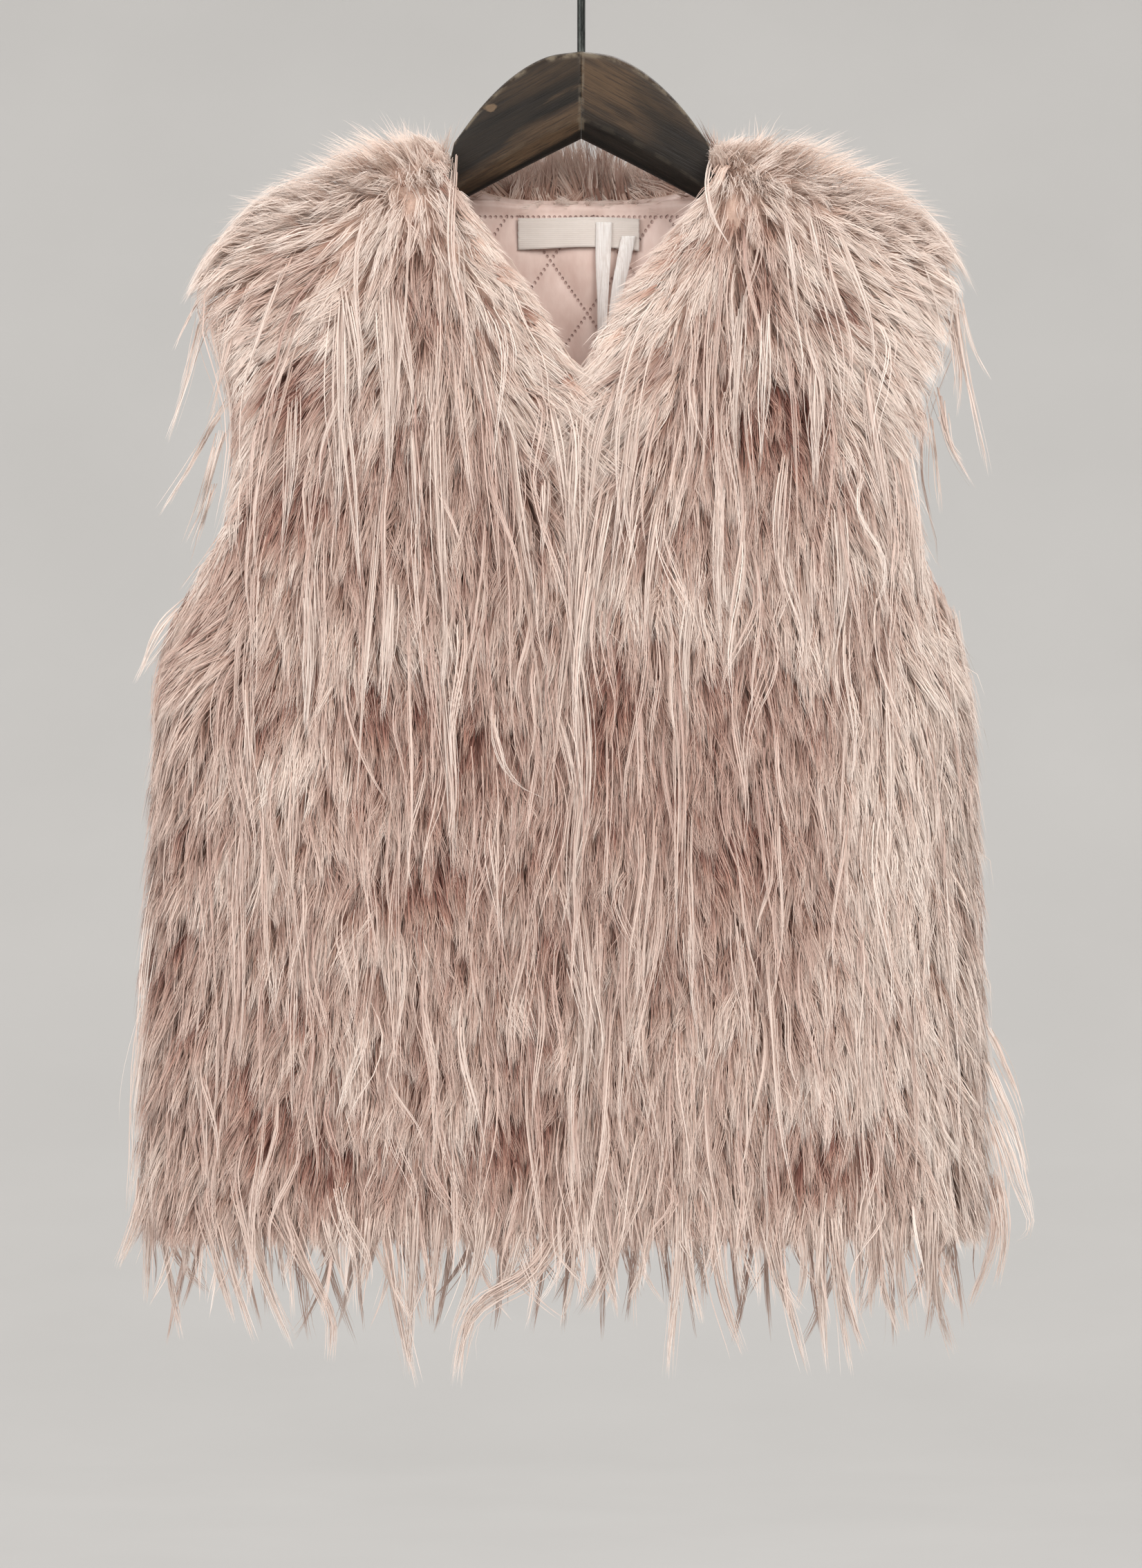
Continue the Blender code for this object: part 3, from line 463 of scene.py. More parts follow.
SIDE_LEFT = (
    ((-160.7, -379.4), (-168.8, -433.4), (-174.2, -482.0), 4.4, 22),
    ((-162.3, -422.6), (-170.9, -476.6), (-176.3, -525.2), 5.0, 26),
    ((-159.6, -441.5), (-166.1, -487.4), (-169.3, -525.2), 4.0, 20),
    ((-153.6, -284.4), (-163.4, -297.1), (-174.2, -317.3), 3.4, 20),
    ((-159.6, -301.1), (-165.5, -322.7), (-167.1, -341.6), 2.6, 12),
)

# The side of each panel, and whether it is the back
PANELS = {"front_left": (1, False), "front_right": (-1, False), "back": (0, True)}
DOWN = np.array([0.0, 0.0, -1.0])


def unit(v):
    """Vectors scaled to length 1."""
    return v / np.maximum(np.linalg.norm(v, axis=-1, keepdims=True), 1e-12)


def dot(a, b):
    return (a * b).sum(axis=-1, keepdims=True)


def smooth_step(low, high, value):
    """0 at low and 1 at high, with a flat start and end. low may be the greater of the two."""
    t = np.clip((value - low) / (high - low), 0, 1)
    return t * t * (3 - 2 * t)


def smooth_curve(at, knots, values):
    """A cubic through the knots whose slope at each one comes from its two neighbours."""
    slopes = np.gradient(values, knots)
    i = np.clip(np.searchsorted(knots, at) - 1, 0, len(knots) - 2)
    step = knots[i + 1] - knots[i]
    t = np.clip((at - knots[i]) / step, 0, 1)
    start = (1 + 2 * t) * (1 - t) ** 2 * values[i] + t * (1 - t) ** 2 * step * slopes[i]
    end = t**2 * (3 - 2 * t) * values[i + 1] + t**2 * (t - 1) * step * slopes[i + 1]
    return start + end


def from_table(at, table, names, name):
    """The named column of a table at places along its first column."""
    knots = np.array([row[0] for row in table])
    values = np.array([row[names.index(name)] for row in table])
    return smooth_curve(at, knots, values)


def body(name, height):
    return from_table(height, BODY_SECTIONS, BODY_COLUMNS, name)


def shoulder_height(x):
    """Height of the straight line through the neck point and the shoulder tip."""
    slope = (SHOULDER_TIP[1] - NECK_POINT[1]) / (SHOULDER_TIP[0] - NECK_POINT[0])
    return NECK_POINT[1] + (x - NECK_POINT[0]) * slope


def shoulder_rounding(x, z):
    """Share of the full depth, as the cloth closes in a quarter ellipse to the shoulder seam."""
    below = np.clip((shoulder_height(x) - z - SEAM_GAP / 3) / SHOULDER_ROUND, 0, 1)
    return np.sqrt(1 - (1 - below) ** 2)


def neck_line(x):
    """Height of the back's top edge: a curve of the fourth power inside the neck, then the shoulder."""
    inside = BACK_NECK_HEIGHT + (NECK_POINT[1] - BACK_NECK_HEIGHT) * (x / NECK_POINT[0]) ** 4
    return np.where(x < NECK_POINT[0], inside, shoulder_height(x))


def outer_edge(share):
    """x and height of the side seam and armhole at a share of the way up."""
    width = np.minimum(from_table(share, OUTER_EDGE, OUTER_COLUMNS, "width_share"), 1)
    height = from_table(share, OUTER_EDGE, OUTER_COLUMNS, "height")
    return width * body("half_width", height), height


def lopsided(x, z):
    """What x grows by: one half of the vest hangs a little wider than the other, more so on the body."""
    ramp = 0.2 + 0.8 * np.clip((NECK_POINT[1] - z) / 0.18, 0, 1)
    return 1 - UNEVEN * ramp * np.sign(x)


def uneven(points):
    """Points of the even garment, moved to the lopsided one."""
    points = points.copy()
    points[..., 0] *= lopsided(points[..., 0], points[..., 2])
    return points


def side_rounding(x, half_width):
    """Share of the full depth, as a superellipse closes the cloth to the side seam."""
    return (1 - np.clip(x / half_width, 0, 1) ** ROUNDNESS) ** (1 / ROUNDNESS)


def cloth_depth(x, z, is_back):
    """How far the inner cloth is from the side seams' plane, at a point of the front view: a superellipse."""
    level = np.clip(z, HEM_HEIGHT, NECK_POINT[1])
    plain = np.abs(x / lopsided(x, z))
    depth = body("back_depth" if is_back else "front_depth", level)
    side = side_rounding(plain, body("half_width", level))
    return depth * side * shoulder_rounding(plain, z) + SEAM_GAP / 2


def cloth(panel, share, across):
    """Points of a panel's inner cloth. On the back, across runs from -1 to 1."""
    side, is_back = PANELS[panel]
    side = np.where(across < 0, -1, 1) if is_back else side
    across = np.abs(across)
    if is_back:
        x_in, z_in = 0 * share, HEM_HEIGHT + (BACK_NECK_HEIGHT - HEM_HEIGHT) * share
    else:
        x_in = np.maximum(from_table(share, FRONT_INNER_EDGE, INNER_COLUMNS, "x"), 0)
        z_in = from_table(share, FRONT_INNER_EDGE, INNER_COLUMNS, "height")
    x_out, z_out = outer_edge(share)
    x = x_in + (x_out - x_in) * across
    z = z_in + (z_out - z_in) * across
    if is_back:
        straight = BACK_NECK_HEIGHT + (SHOULDER_TIP[1] - BACK_NECK_HEIGHT) * across
        z = z + (neck_line(SHOULDER_TIP[0] * across) - straight) * share**6
    depth = body("back_depth" if is_back else "front_depth", z)
    y = depth * side_rounding(x, body("half_width", z)) * shoulder_rounding(x, z) + SEAM_GAP / 2
    return uneven(np.stack([side * x, y if is_back else -y, z], axis=-1))


def outward(panel, share, across):
    """Unit normals of the cloth, out of the garment, from small steps up and across it."""
    least = -1 if PANELS[panel][1] else 0

    def normal(share, across):
        low, high = np.maximum(share - NORMAL_STEP, 0), np.minimum(share + NORMAL_STEP, 1)
        up = cloth(panel, high, across) - cloth(panel, low, across)
        low, high = np.maximum(across - NORMAL_STEP, least), np.minimum(across + NORMAL_STEP, 1)
        return unit(np.cross(cloth(panel, share, high) - cloth(panel, share, low), up))

    facing = normal(np.array([0.4]), np.array([0.4]))[0, 1]
    wanted = 1 if PANELS[panel][1] else -1
    return normal(share, across) * np.sign(facing * wanted)


def held_under(value, limit):
    """Values that near a limit are slowed down, so that none passes it."""
    over = np.maximum(value - limit + REACH_SOFT, 0)
    return np.minimum(value, limit - REACH_SOFT) + REACH_SOFT * (1 - np.exp(-over / REACH_SOFT))


def within_reach(spines, rng, side):
    """Strands drawn in to the fur's outline, each with its own small allowance. side is 0 but for a front's
    strands, which also stay clear of the V of the neck on their own side."""
    x, y, z = spines[..., 0], spines[..., 1], spines[..., 2]
    more = rng.normal(0, REACH_SPREAD, len(spines))[:, None]
    sign = side if side else np.where(x < 0, -1, 1)
    plain = x * sign

    def limit(at, table, columns):
        left, right = (from_table(at, table, columns, name) for name in ("left", "right"))
        if side:
            return left if side < 0 else right
        return np.where(x < 0, left, right)

    plain = held_under(plain, limit(z, SIDE_REACH, SIDE_COLUMNS) + more)
    up = held_under(z, limit(plain, TOP_REACH, TOP_COLUMNS) + more)
    up = np.where(plain < NECK_CLEAR, z, up)
    if side:
        plain = -held_under(-plain, -limit(up, NECK_REACH, NECK_COLUMNS) + more)
    return np.stack([sign * plain, y, up], axis=-1)


def free_edge(panel):
    """Front view points of the panel's hem, armholes and neckline."""
    line = np.linspace(0, 1, 90)
    one = np.ones_like(line)
    is_back = PANELS[panel][1]
    start = -1 if is_back else 0
    hem = cloth(panel, 0 * line, start + (1 - start) * line)
    armhole = cloth(panel, 0.61 + 0.39 * line, one)
    edges = [hem, armhole]
    if is_back:
        reach = NECK_POINT[0] / SHOULDER_TIP[0]
        edges += [armhole * (-1, 1, 1), cloth(panel, one, reach * (2 * line - 1))]
    else:
        edges += [cloth(panel, 0.79 + 0.21 * line, 0 * line)]
    return np.concatenate(edges)[:, [0, 2]]


def pile_depth(panel, points):
    """Thickness of the fur: full inside the panel and thinner towards its free edges."""
    edge = free_edge(panel)
    away = np.empty(len(points))
    for start in range(0, len(points), AT_A_TIME):
        part = slice(start, start + AT_A_TIME)
        away[part] = np.linalg.norm(points[part, None][..., [0, 2]] - edge[None], axis=-1).min(axis=1)
    rounding = np.sqrt(1 - (1 - np.clip(away / EDGE_ROUND, 0, 1)) ** 2)
    return PILE_AT_EDGE + (PILE - PILE_AT_EDGE) * rounding


def grid_lines(panel, rows, crowding_up, columns, crowding_out):
    """Shares up and across a panel for the lines of a grid. They crowd towards its top and its outer edge."""
    up = 1 - (1 - np.linspace(0, 1, rows + 1)) ** crowding_up
    out = 1 - (1 - np.linspace(0, 1, columns + 1)) ** crowding_out
    return up, np.concatenate([-out[:0:-1], out]) if PANELS[panel][1] else out


def places_on(panel, share, across):
    """Points of a panel's cloth, their normals and how deep the fur is there."""
    base = cloth(panel, share, across)
    return base, outward(panel, share, across), pile_depth(panel, base)


def scattered(panel, count, rng):
    """Evenly scattered places on a panel, the same number to each unit of its area."""
    up, out = grid_lines(panel, 48, 1.3, 32, 1.7)
    share, across = np.meshgrid(up, out, indexing="ij")
    grid = cloth(panel, share.ravel(), across.ravel()).reshape(share.shape + (3,))
    sides = np.cross(grid[1:, 1:] - grid[:-1, :-1], grid[1:, :-1] - grid[:-1, 1:])
    area = np.linalg.norm(sides, axis=-1)
    total = np.cumsum(area.ravel())
    cell = np.searchsorted(total, (np.arange(count) + rng.random(count)) / count * total[-1])
    row, column = np.divmod(np.minimum(cell, area.size - 1), area.shape[1])
    share = up[row] + (up[row + 1] - up[row]) * rng.random(count)
    across = out[column] + (out[column + 1] - out[column]) * rng.random(count)
    return share, across


def ripple(x, z, scale, seed):
    """A smooth field of no fixed direction, from about -1 to 1, made of a few crossing waves."""
    rng = np.random.default_rng(seed)
    total = 0
    for _ in range(RIPPLE_WAVES):
        angle, phase = rng.uniform(0, 2 * np.pi, 2)
        size = scale * rng.uniform(0.7, 1.6)
        total = total + np.sin((x * np.cos(angle) + z * np.sin(angle)) * 2 * np.pi / size + phase)
    return total / RIPPLE_SCALE


def comb(points, normals):
    """The way that the fur lies: out over the shoulders, in along the V of the neck, then down."""
    side = np.where(points[:, 0] < 0, -1, 1)
    x, z = np.abs(points[:, 0]), points[:, 2]
    high = smooth_step(*COMB_CHEST, z)
    on_front = points[:, 1] < 0
    by_neck = smooth_step(*COMB_NECK, z)
    inner = -(0.95 - 0.55 * by_neck) * smooth_step(0.045 + 0.035 * by_neck, 0.020 + 0.030 * by_neck, x)
    inner = inner * smooth_step(*COMB_V, z)
    outer = (0.40 * high + 0.85 * smooth_step(*COMB_SHOULDER, z)) * smooth_step(*COMB_OUT, x)
    fan = np.where(on_front, inner + outer, outer)
    underarm = np.exp(-(((z - UNDER_ARM[0]) / UNDER_ARM[1]) ** 2)) * smooth_step(*UNDER_ARM_OUT, x)
    lean = side * (fan + 0.13 * (1 - high) * (x / 0.15) ** 2 + 1.1 * underarm)
    lean = lean + 0.12 * ripple(points[:, 0], z, 0.09, 3) + 0.12 * ripple(points[:, 0], z, 0.030, 4)
    way = np.stack([lean, 0 * x, -np.ones_like(x)], axis=-1)
    return unit(way - normals * dot(way, normals))


def paleness(points, hang=STRAND_HANG):
    """How pale the fur is, from 0 to 1, at the place where its strands show: hang below their roots.

    It is pale on the shoulders, along the V, down one side and near the hem. Below the edge of the fur that
    hangs from the chest, and in the patches where the fur parts, it is darker: painted shade, and the
    darker roots that show there. A highlight is painted just above that edge."""
    x, z = points[:, 0], points[:, 2] - hang
    off_middle = np.abs(x)
    shoulder = smooth_step(*PALE_SHOULDER, z)
    v_height = FRONT_INNER_EDGE[2][2]
    off_v = off_middle - np.clip((z - v_height) / (NECK_POINT[1] - v_height), 0, 1) * NECK_POINT[0]
    along_v = smooth_step(*PALE_V_OFF, off_v) * smooth_step(*PALE_V, z)
    sides = np.where(x > 0, 0.34 * smooth_step(*PALE_SIDE_LEFT, x), -0.05 * smooth_step(*PALE_SIDE_RIGHT, -x))
    hem = (0.02 + 0.03 * np.tanh(x / 0.02)) * smooth_step(*PALE_HEM, z)
    edge = CHEST_EDGE + 0.008 * np.tanh(x / 0.01) + 0.004 * ripple(x, 0 * z, 0.05, 10)
    # Painted shade below the lower edge of the fur that hangs from the chest, where darker roots also show
    painted_shade_under_chest = smooth_step(edge + 0.003, edge - 0.005, z) * smooth_step(*CHEST_END, z)
    painted_shade_under_chest = painted_shade_under_chest * smooth_step(*CHEST_OUT, off_middle)
    # Painted highlight in a band just above that edge, on the pale tips of the overhanging fur
    painted_highlight_on_chest = np.exp(-(((z - edge - PAINTED_CHEST_HIGHLIGHT[0]) / PAINTED_CHEST_HIGHLIGHT[1]) ** 2))
    painted_highlight_on_chest = painted_highlight_on_chest * smooth_step(-0.005, 0.010, x) * smooth_step(0.105, 0.090, x)
    pale = PALE_MEAN + 0.35 * np.maximum(shoulder, along_v) + sides + hem
    pale = pale - 0.25 * painted_shade_under_chest + 0.20 * painted_highlight_on_chest
    pale = pale + 0.17 * ripple(x, z * 1.4, 0.050, 8) + 0.16 * ripple(x * 1.6, z, 0.022, 9)
    # Painted shade in the patches where the fur parts, with the darker roots that show there. A depth below
    # zero paints a paler patch
    for place_x, place_z, wide, tall, depth in PARTINGS_WITH_PAINTED_SHADE:
        patch = np.exp(-(((x - place_x) / wide) ** 2) - ((z - place_z) / tall) ** 2)
        pale = pale - 1.6 * depth * patch
    return np.clip(pale, 0.0, 1.0)


def mesh_object(name, points, faces, finish):
    """A mesh from arrays of points and of faces that all have the same number of corners."""
    mesh = bpy.data.meshes.new(name)
    faces = np.asarray(faces, np.int32)
    corners = faces.shape[1]
    mesh.vertices.add(len(points))
    mesh.vertices.foreach_set("co", np.asarray(points, np.float32).ravel())
    mesh.loops.add(faces.size)
    mesh.loops.foreach_set("vertex_index", faces.ravel())
    mesh.polygons.add(len(faces))
    mesh.polygons.foreach_set("loop_start", np.arange(len(faces), dtype=np.int32) * corners)
    mesh.update(calc_edges=True)
    mesh.validate()
    mesh.shade_smooth()
    mesh.materials.append(finish)
    thing = bpy.data.objects.new(name, mesh)
    bpy.context.scene.collection.objects.link(thing)
    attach(thing, "root")
    return thing


def turned_out(thing):
    """The same piece with the normals of its closed mesh pointing out."""
    work = bmesh.new()
    work.from_mesh(thing.data)
    bmesh.ops.recalc_face_normals(work, faces=work.faces)
    work.to_mesh(thing.data)
    work.free()
    return thing


def root_fade(tone):
    """How much of the colour of its root a strand misses: 0 for a dark strand, more for a paler one."""
    return 0.45 * smooth_step(0.66, 0.93, tone) + 0.20 * smooth_step(0.93, 1.02, tone)


def strands(name, parts, finish):
    """Tapered flat strands as one mesh of triangles.

    Each part is (spines, across, half widths, tones): spines are strands by points, across is the way of the
    strand's width at each, and the width goes to nothing at the last point. The map's u is the strand's tone
    and its v runs from root to tip, past the dark root in the palest strands."""
    points, faces, places, start = [], [], [], 0
    for spine, across, half_width, tone in parts:
        count, rings = spine.shape[:2]
        edge = across[:, :-1] * half_width[:, :-1, None]
        sides = np.stack([spine[:, :-1] - edge, spine[:, :-1] + edge], axis=2).reshape(count, -1, 3)
        points.append(np.concatenate([sides, spine[:, -1:]], axis=1).reshape(-1, 3))
        k = 2 * np.arange(rings - 2)
        one = np.concatenate([np.stack([k, k + 1, k + 3], axis=1), np.stack([k, k + 3, k + 2], axis=1)])
        last = 2 * (rings - 2)
        one = np.concatenate([one, [[last, last + 1, last + 2]]])
        size = 2 * (rings - 1) + 1
        faces.append((one[None] + (start + np.arange(count) * size)[:, None, None]).reshape(-1, 3))
        start += count * size
        t = np.append(np.repeat(np.linspace(0, 1, rings)[:-1], 2), 1.0)[None]
        offset = np.append(np.tile([-TONE_EDGE, TONE_EDGE], rings - 1), 0.0)
        u = np.clip(tone, 0.02, 0.98)[:, None] + offset[None]
        v = 0.01 + 0.98 * (1 - (1 - t) * (1 - root_fade(tone)[:, None]))
        places.append(np.stack([u, v], axis=-1).reshape(-1, 2))
    faces = np.concatenate(faces)
    thing = mesh_object(name, np.concatenate(points), faces, finish)
    layer = thing.data.uv_layers.new(name="OFBake")
    layer.uv.foreach_set("vector", np.concatenate(places)[faces.ravel()].astype(np.float32).ravel())
    return thing


def tapered(count, rings, half_width, root=0.85, power=0.7):
    """Half widths along strands: a little narrower at the root, and to a point at the tip."""
    t = np.linspace(0, 1, rings)[None]
    shape = (root + (1 - root) * np.minimum(t * 3, 1)) * (1 - t) ** power
    return half_width.reshape(count, 1) * shape


def turned_about(vectors, axis, angle):
    """Vectors turned about unit axes at right angles to them."""
    angle = angle[..., None]
    return vectors * np.cos(angle) + np.cross(axis, vectors) * np.sin(angle)


def tuft_strands(base, normal, way, length, rise, aside, along, gather, pale, number, rng):
    """Strands in tufts: roots spread round each base, more along the tuft than across it, and tips that meet.

    The arrays have one row a tuft. gather is how much of its width a tuft loses to its tip. A few strands are
    loose: they are longer and thinner, and stand off."""
    count = len(base)
    sideways = np.cross(normal, way)
    t = np.linspace(0, 1, TUFT_RINGS)[None, None, :, None]

    def each(v):
        return v[:, None, None, :] if v.ndim == 2 else v[:, None, None, None]

    one_each = (count, number, 1, 1)
    from_root = rng.uniform(-1, 1, one_each) * each(along)
    from_side = rng.normal(0, 0.55, one_each) * each(aside)
    tip = each(length) + rng.normal(0, 0.0016, one_each)
    tip_side = from_side * (1 - each(gather)) + rng.normal(0, 0.0006, one_each)
    loose = rng.random(one_each) < LOOSE_SHARE
    tip = tip * np.where(loose, 1.3, 1.0)
    forward = from_root + (tip - from_root) * t
    tip_side = tip_side + loose * rng.normal(0, 0.0045, one_each)
    bow = 0.0009 * rng.normal(0, 1, one_each) * np.sin(np.pi * t)
    sway = each(rng.normal(0, 0.0022, count)) * t**2
    lateral = from_side + (tip_side - from_side) * t**0.9 + bow + sway
    lift = each(rise) * (1 - (1 - t) ** 1.8) * rng.uniform(0.65, 1.12, one_each)
    lift = lift * np.where(loose, 1.5, 1.0)
    spine = each(base) + each(way) * forward + each(sideways) * lateral + each(normal) * lift
    roll = rng.normal(0, 0.35, (count, number))
    shape = (count, number, 3)
    flat = turned_about(np.broadcast_to(sideways[:, None], shape), np.broadcast_to(way[:, None], shape), roll)
    spine = spine.reshape(-1, TUFT_RINGS, 3)
    flat = np.broadcast_to(flat.reshape(-1, 1, 3), spine.shape)
    wide = TUFT_HALF_WIDTH * rng.uniform(0.7, 1.3, count * number) * np.where(loose.ravel(), 0.7, 1.0)
    tone = (pale + rng.normal(0, 0.11, count))[:, None] + rng.normal(0, 0.07, (count, number))
    return spine, flat, tapered(count * number, TUFT_RINGS, wide), tone.ravel()


def drawn_in(made, rng, side):
    """Strands as strands() takes them, with their spines drawn in to the fur's outline."""
    return (within_reach(made[0], rng, side),) + made[1:]


def tufts(panel, rng, fine=False):
    """The tufts that cover a panel, or the fewer fine and short ones that lie on top of them."""
    count = FINE_TUFTS if fine else TUFTS[panel]
    size = FINE_SIZE if fine else 1.0
    base, normal, pile = places_on(panel, *scattered(panel, count, rng))
    way = turned_about(comb(base, normal), normal, rng.normal(0, 0.10, count))
    off_middle = np.abs(base[:, 0])
    top = smooth_step(TOP_ZONE, 0.0, shoulder_height(off_middle) - base[:, 2]) * (off_middle > TOP_OUT)
    pale = np.clip(paleness(base) + 0.25 * top, 0, 1)
    shoulder = smooth_step(-0.230, -0.150, base[:, 2])
    length = size * TUFT_LENGTH * rng.uniform(0.75, 1.20, count)
    length = length * (1 - 0.40 * top) * (1 - 0.18 * shoulder)
    least, most = TUFT_PAST_HEM
    past_hem = least + (most - least) * rng.random(count)
    length = np.minimum(length, np.maximum(base[:, 2] - HEM_HEIGHT, 0) + past_hem)
    rim = smooth_step(0.125, 0.150, off_middle) * smooth_step(-0.285, -0.300, base[:, 2])
    rise = pile * (1 - 0.75 * FOOT_SHARE) * rng.uniform(0.55, 1.1, count) * (1 + 1.0 * top + 0.35 * rim)
    wider = 1.0 if panel != "back" else 1.35
    root = base + normal * (pile * FOOT_SHARE * (1.35 if fine else 0.75))[:, None]
    rise = rise * (0.45 if fine else 1.0)
    aside = TUFT_ASIDE * wider * rng.uniform(0.7, 1.3, count) * size
    gather = rng.uniform(0.15, 0.75, count)
    along = np.minimum(TUFT_ALONG * (1 + pale), length * 0.4)
    made = tuft_strands(root, normal, way, length, rise, aside, along, gather, pale, TUFT_STRANDS, rng)
    if fine:
        made = made[:2] + (made[2] * 0.72,) + made[3:]
    return drawn_in(made, rng, PANELS[panel][0])


def edge_tufts(panel, share, across, out_mix, length, aside, number, pale, rng):
    """Tufts rooted along an edge, which lean past it. out_mix is how much they leave the edge's own comb."""
    base, normal, pile = places_on(panel, share, across)
    inside = across * 0.9 + (0 if PANELS[panel][1] else 0.05)
    beyond = unit(base - cloth(panel, share, inside))
    way = unit(comb(base, normal) + out_mix * beyond + rng.normal(0, 0.10, base.shape))
    way = unit(way - normal * dot(way, normal))
    lift = pile * rng.uniform(0.15, 0.95, len(base))
    root = base + normal * lift[:, None] - way * 0.004
    rise = (pile - lift) * 0.5
    tone = np.broadcast_to(np.asarray(pale, float), len(base))
    spread = np.full(len(base), aside)
    gather = np.full(len(base), 0.5)
    made = tuft_strands(root, normal, way, length, rise, spread, spread, gather, tone, number, rng)
    return drawn_in(made, rng, PANELS[panel][0])


def crest_tufts(side, count, rng):
    """Tufts along the shoulder seam, which hide it. They stand up at the neck and lie outwards further on."""
    share = rng.random(count) ** 1.6
    x = NECK_POINT[0] - 0.003 + (SHOULDER_TIP[0] - NECK_POINT[0]) * share
    depth = PILE * rng.uniform(-1.35, 0.70, count)
    top = shoulder_height(x) + 0.002 * rng.random(count) - 0.35 * np.maximum(np.abs(depth) - 0.008, 0)
    base = uneven(np.stack([side * x, depth, top], axis=-1))
    up = 0.75 * smooth_step(0.30, 0.0, share) + 0.10
    out = np.where(share < 0.12, rng.uniform(-0.5, 0.9, count), rng.uniform(0.7, 1.1, count))
    way = unit(np.stack([side * out, 0.35 * depth / PILE, up + rng.normal(0, 0.12, count)], axis=-1))
    normal = np.stack([0 * depth, np.sign(depth), 0 * depth + 0.7], axis=-1)
    normal = unit(normal - way * dot(normal, way))
    rise = rng.uniform(0.001, 0.007, count)
    length = rng.uniform(0.011, 0.019, count)
    spread = np.full(count, 0.0024)
    tone = rng.normal(0.95, 0.05, count)
    made = tuft_strands(base, normal, way, length, rise, spread, spread, 0.5 + 0 * rise, tone, 16, rng)
    return drawn_in(made, rng, 0)


def flyaways(side, count, rng):
    """Single fine hairs that leave the outline of the shoulder, out and up, and bend down to their tips."""
    share = rng.random(count)
    x = NECK_POINT[0] - 0.001 + (SHOULDER_TIP[0] + 0.001 - NECK_POINT[0]) * share
    depth = PILE * rng.uniform(-1.0, 0.6, count)
    outline = from_table(x, TOP_REACH, TOP_COLUMNS, "right" if side > 0 else "left")
    base = np.stack([side * x, depth, outline - rng.uniform(0.008, 0.015, count)], axis=-1)
    out = np.where(share < 0.20, rng.uniform(-0.3, 1.0, count), rng.uniform(0.7, 1.3, count))
    up = 1.0 - 0.75 * smooth_step(0.1, 0.8, share) - 0.5 * smooth_step(0.7, 1.0, share)
    up = up + rng.normal(0, 0.15, count)
    way = unit(np.stack([side * out, rng.normal(-0.1, 0.25, count), up], axis=-1))
    length = rng.uniform(0.012, 0.021, count) * (1 - 0.30 * smooth_step(0.7, 1.0, share))
    t = np.linspace(0, 1, FLYAWAY_RINGS)[None, :, None]
    bend = np.stack([side * rng.uniform(0, 0.003, count), 0 * x, -rng.uniform(0.001, 0.005, count)], axis=-1)
    spine = base[:, None] + way[:, None] * length[:, None, None] * t + bend[:, None] * t**2
    across = unit(np.cross(way, np.array([0.0, 1.0, 0.0])))
    flat = np.broadcast_to(across[:, None], spine.shape)
    wide = FLYAWAY_HALF_WIDTH * rng.uniform(0.7, 1.3, count)
    return spine, flat, tapered(count, FLYAWAY_RINGS, wide), rng.normal(1.0, 0.05, count)


def falling(root, start, length, clearance, steps):
    """Spines that leave the root along start, bend down under their weight and slide over the fur."""
    spine = [root]
    way = start
    step = (length / steps)[:, None]
    for _ in range(steps):
        way = unit(way + DOWN * LOCK_LIMPNESS)
        place = spine[-1] + way * step
        fixed = clear_of_body(place, clearance)
        way = unit(fixed - spine[-1])
        spine.append(spine[-1] + way * step)
    return np.stack(spine, axis=1)


def clear_of_body(points, clearance):
    """Points moved out along y, to stand clearance off the cloth that lies behind or before them."""
    x, y, z = points[..., 0], points[..., 1], points[..., 2]
    front = -(cloth_depth(x, z, False) + clearance)
    back = cloth_depth(x, z, True) + clearance
    inside_x = np.abs(x / lopsided(x, z)) < body("half_width", np.clip(z, HEM_HEIGHT, NECK_POINT[1]))
    covered = inside_x & (z < shoulder_height(np.abs(x)) + 0.004) & (z > HEM_HEIGHT)
    pushed = np.where(y < 0, np.minimum(y, front), np.maximum(y, back))
    moved = points.copy()
    moved[..., 1] = np.where(covered, pushed, y)
    return moved


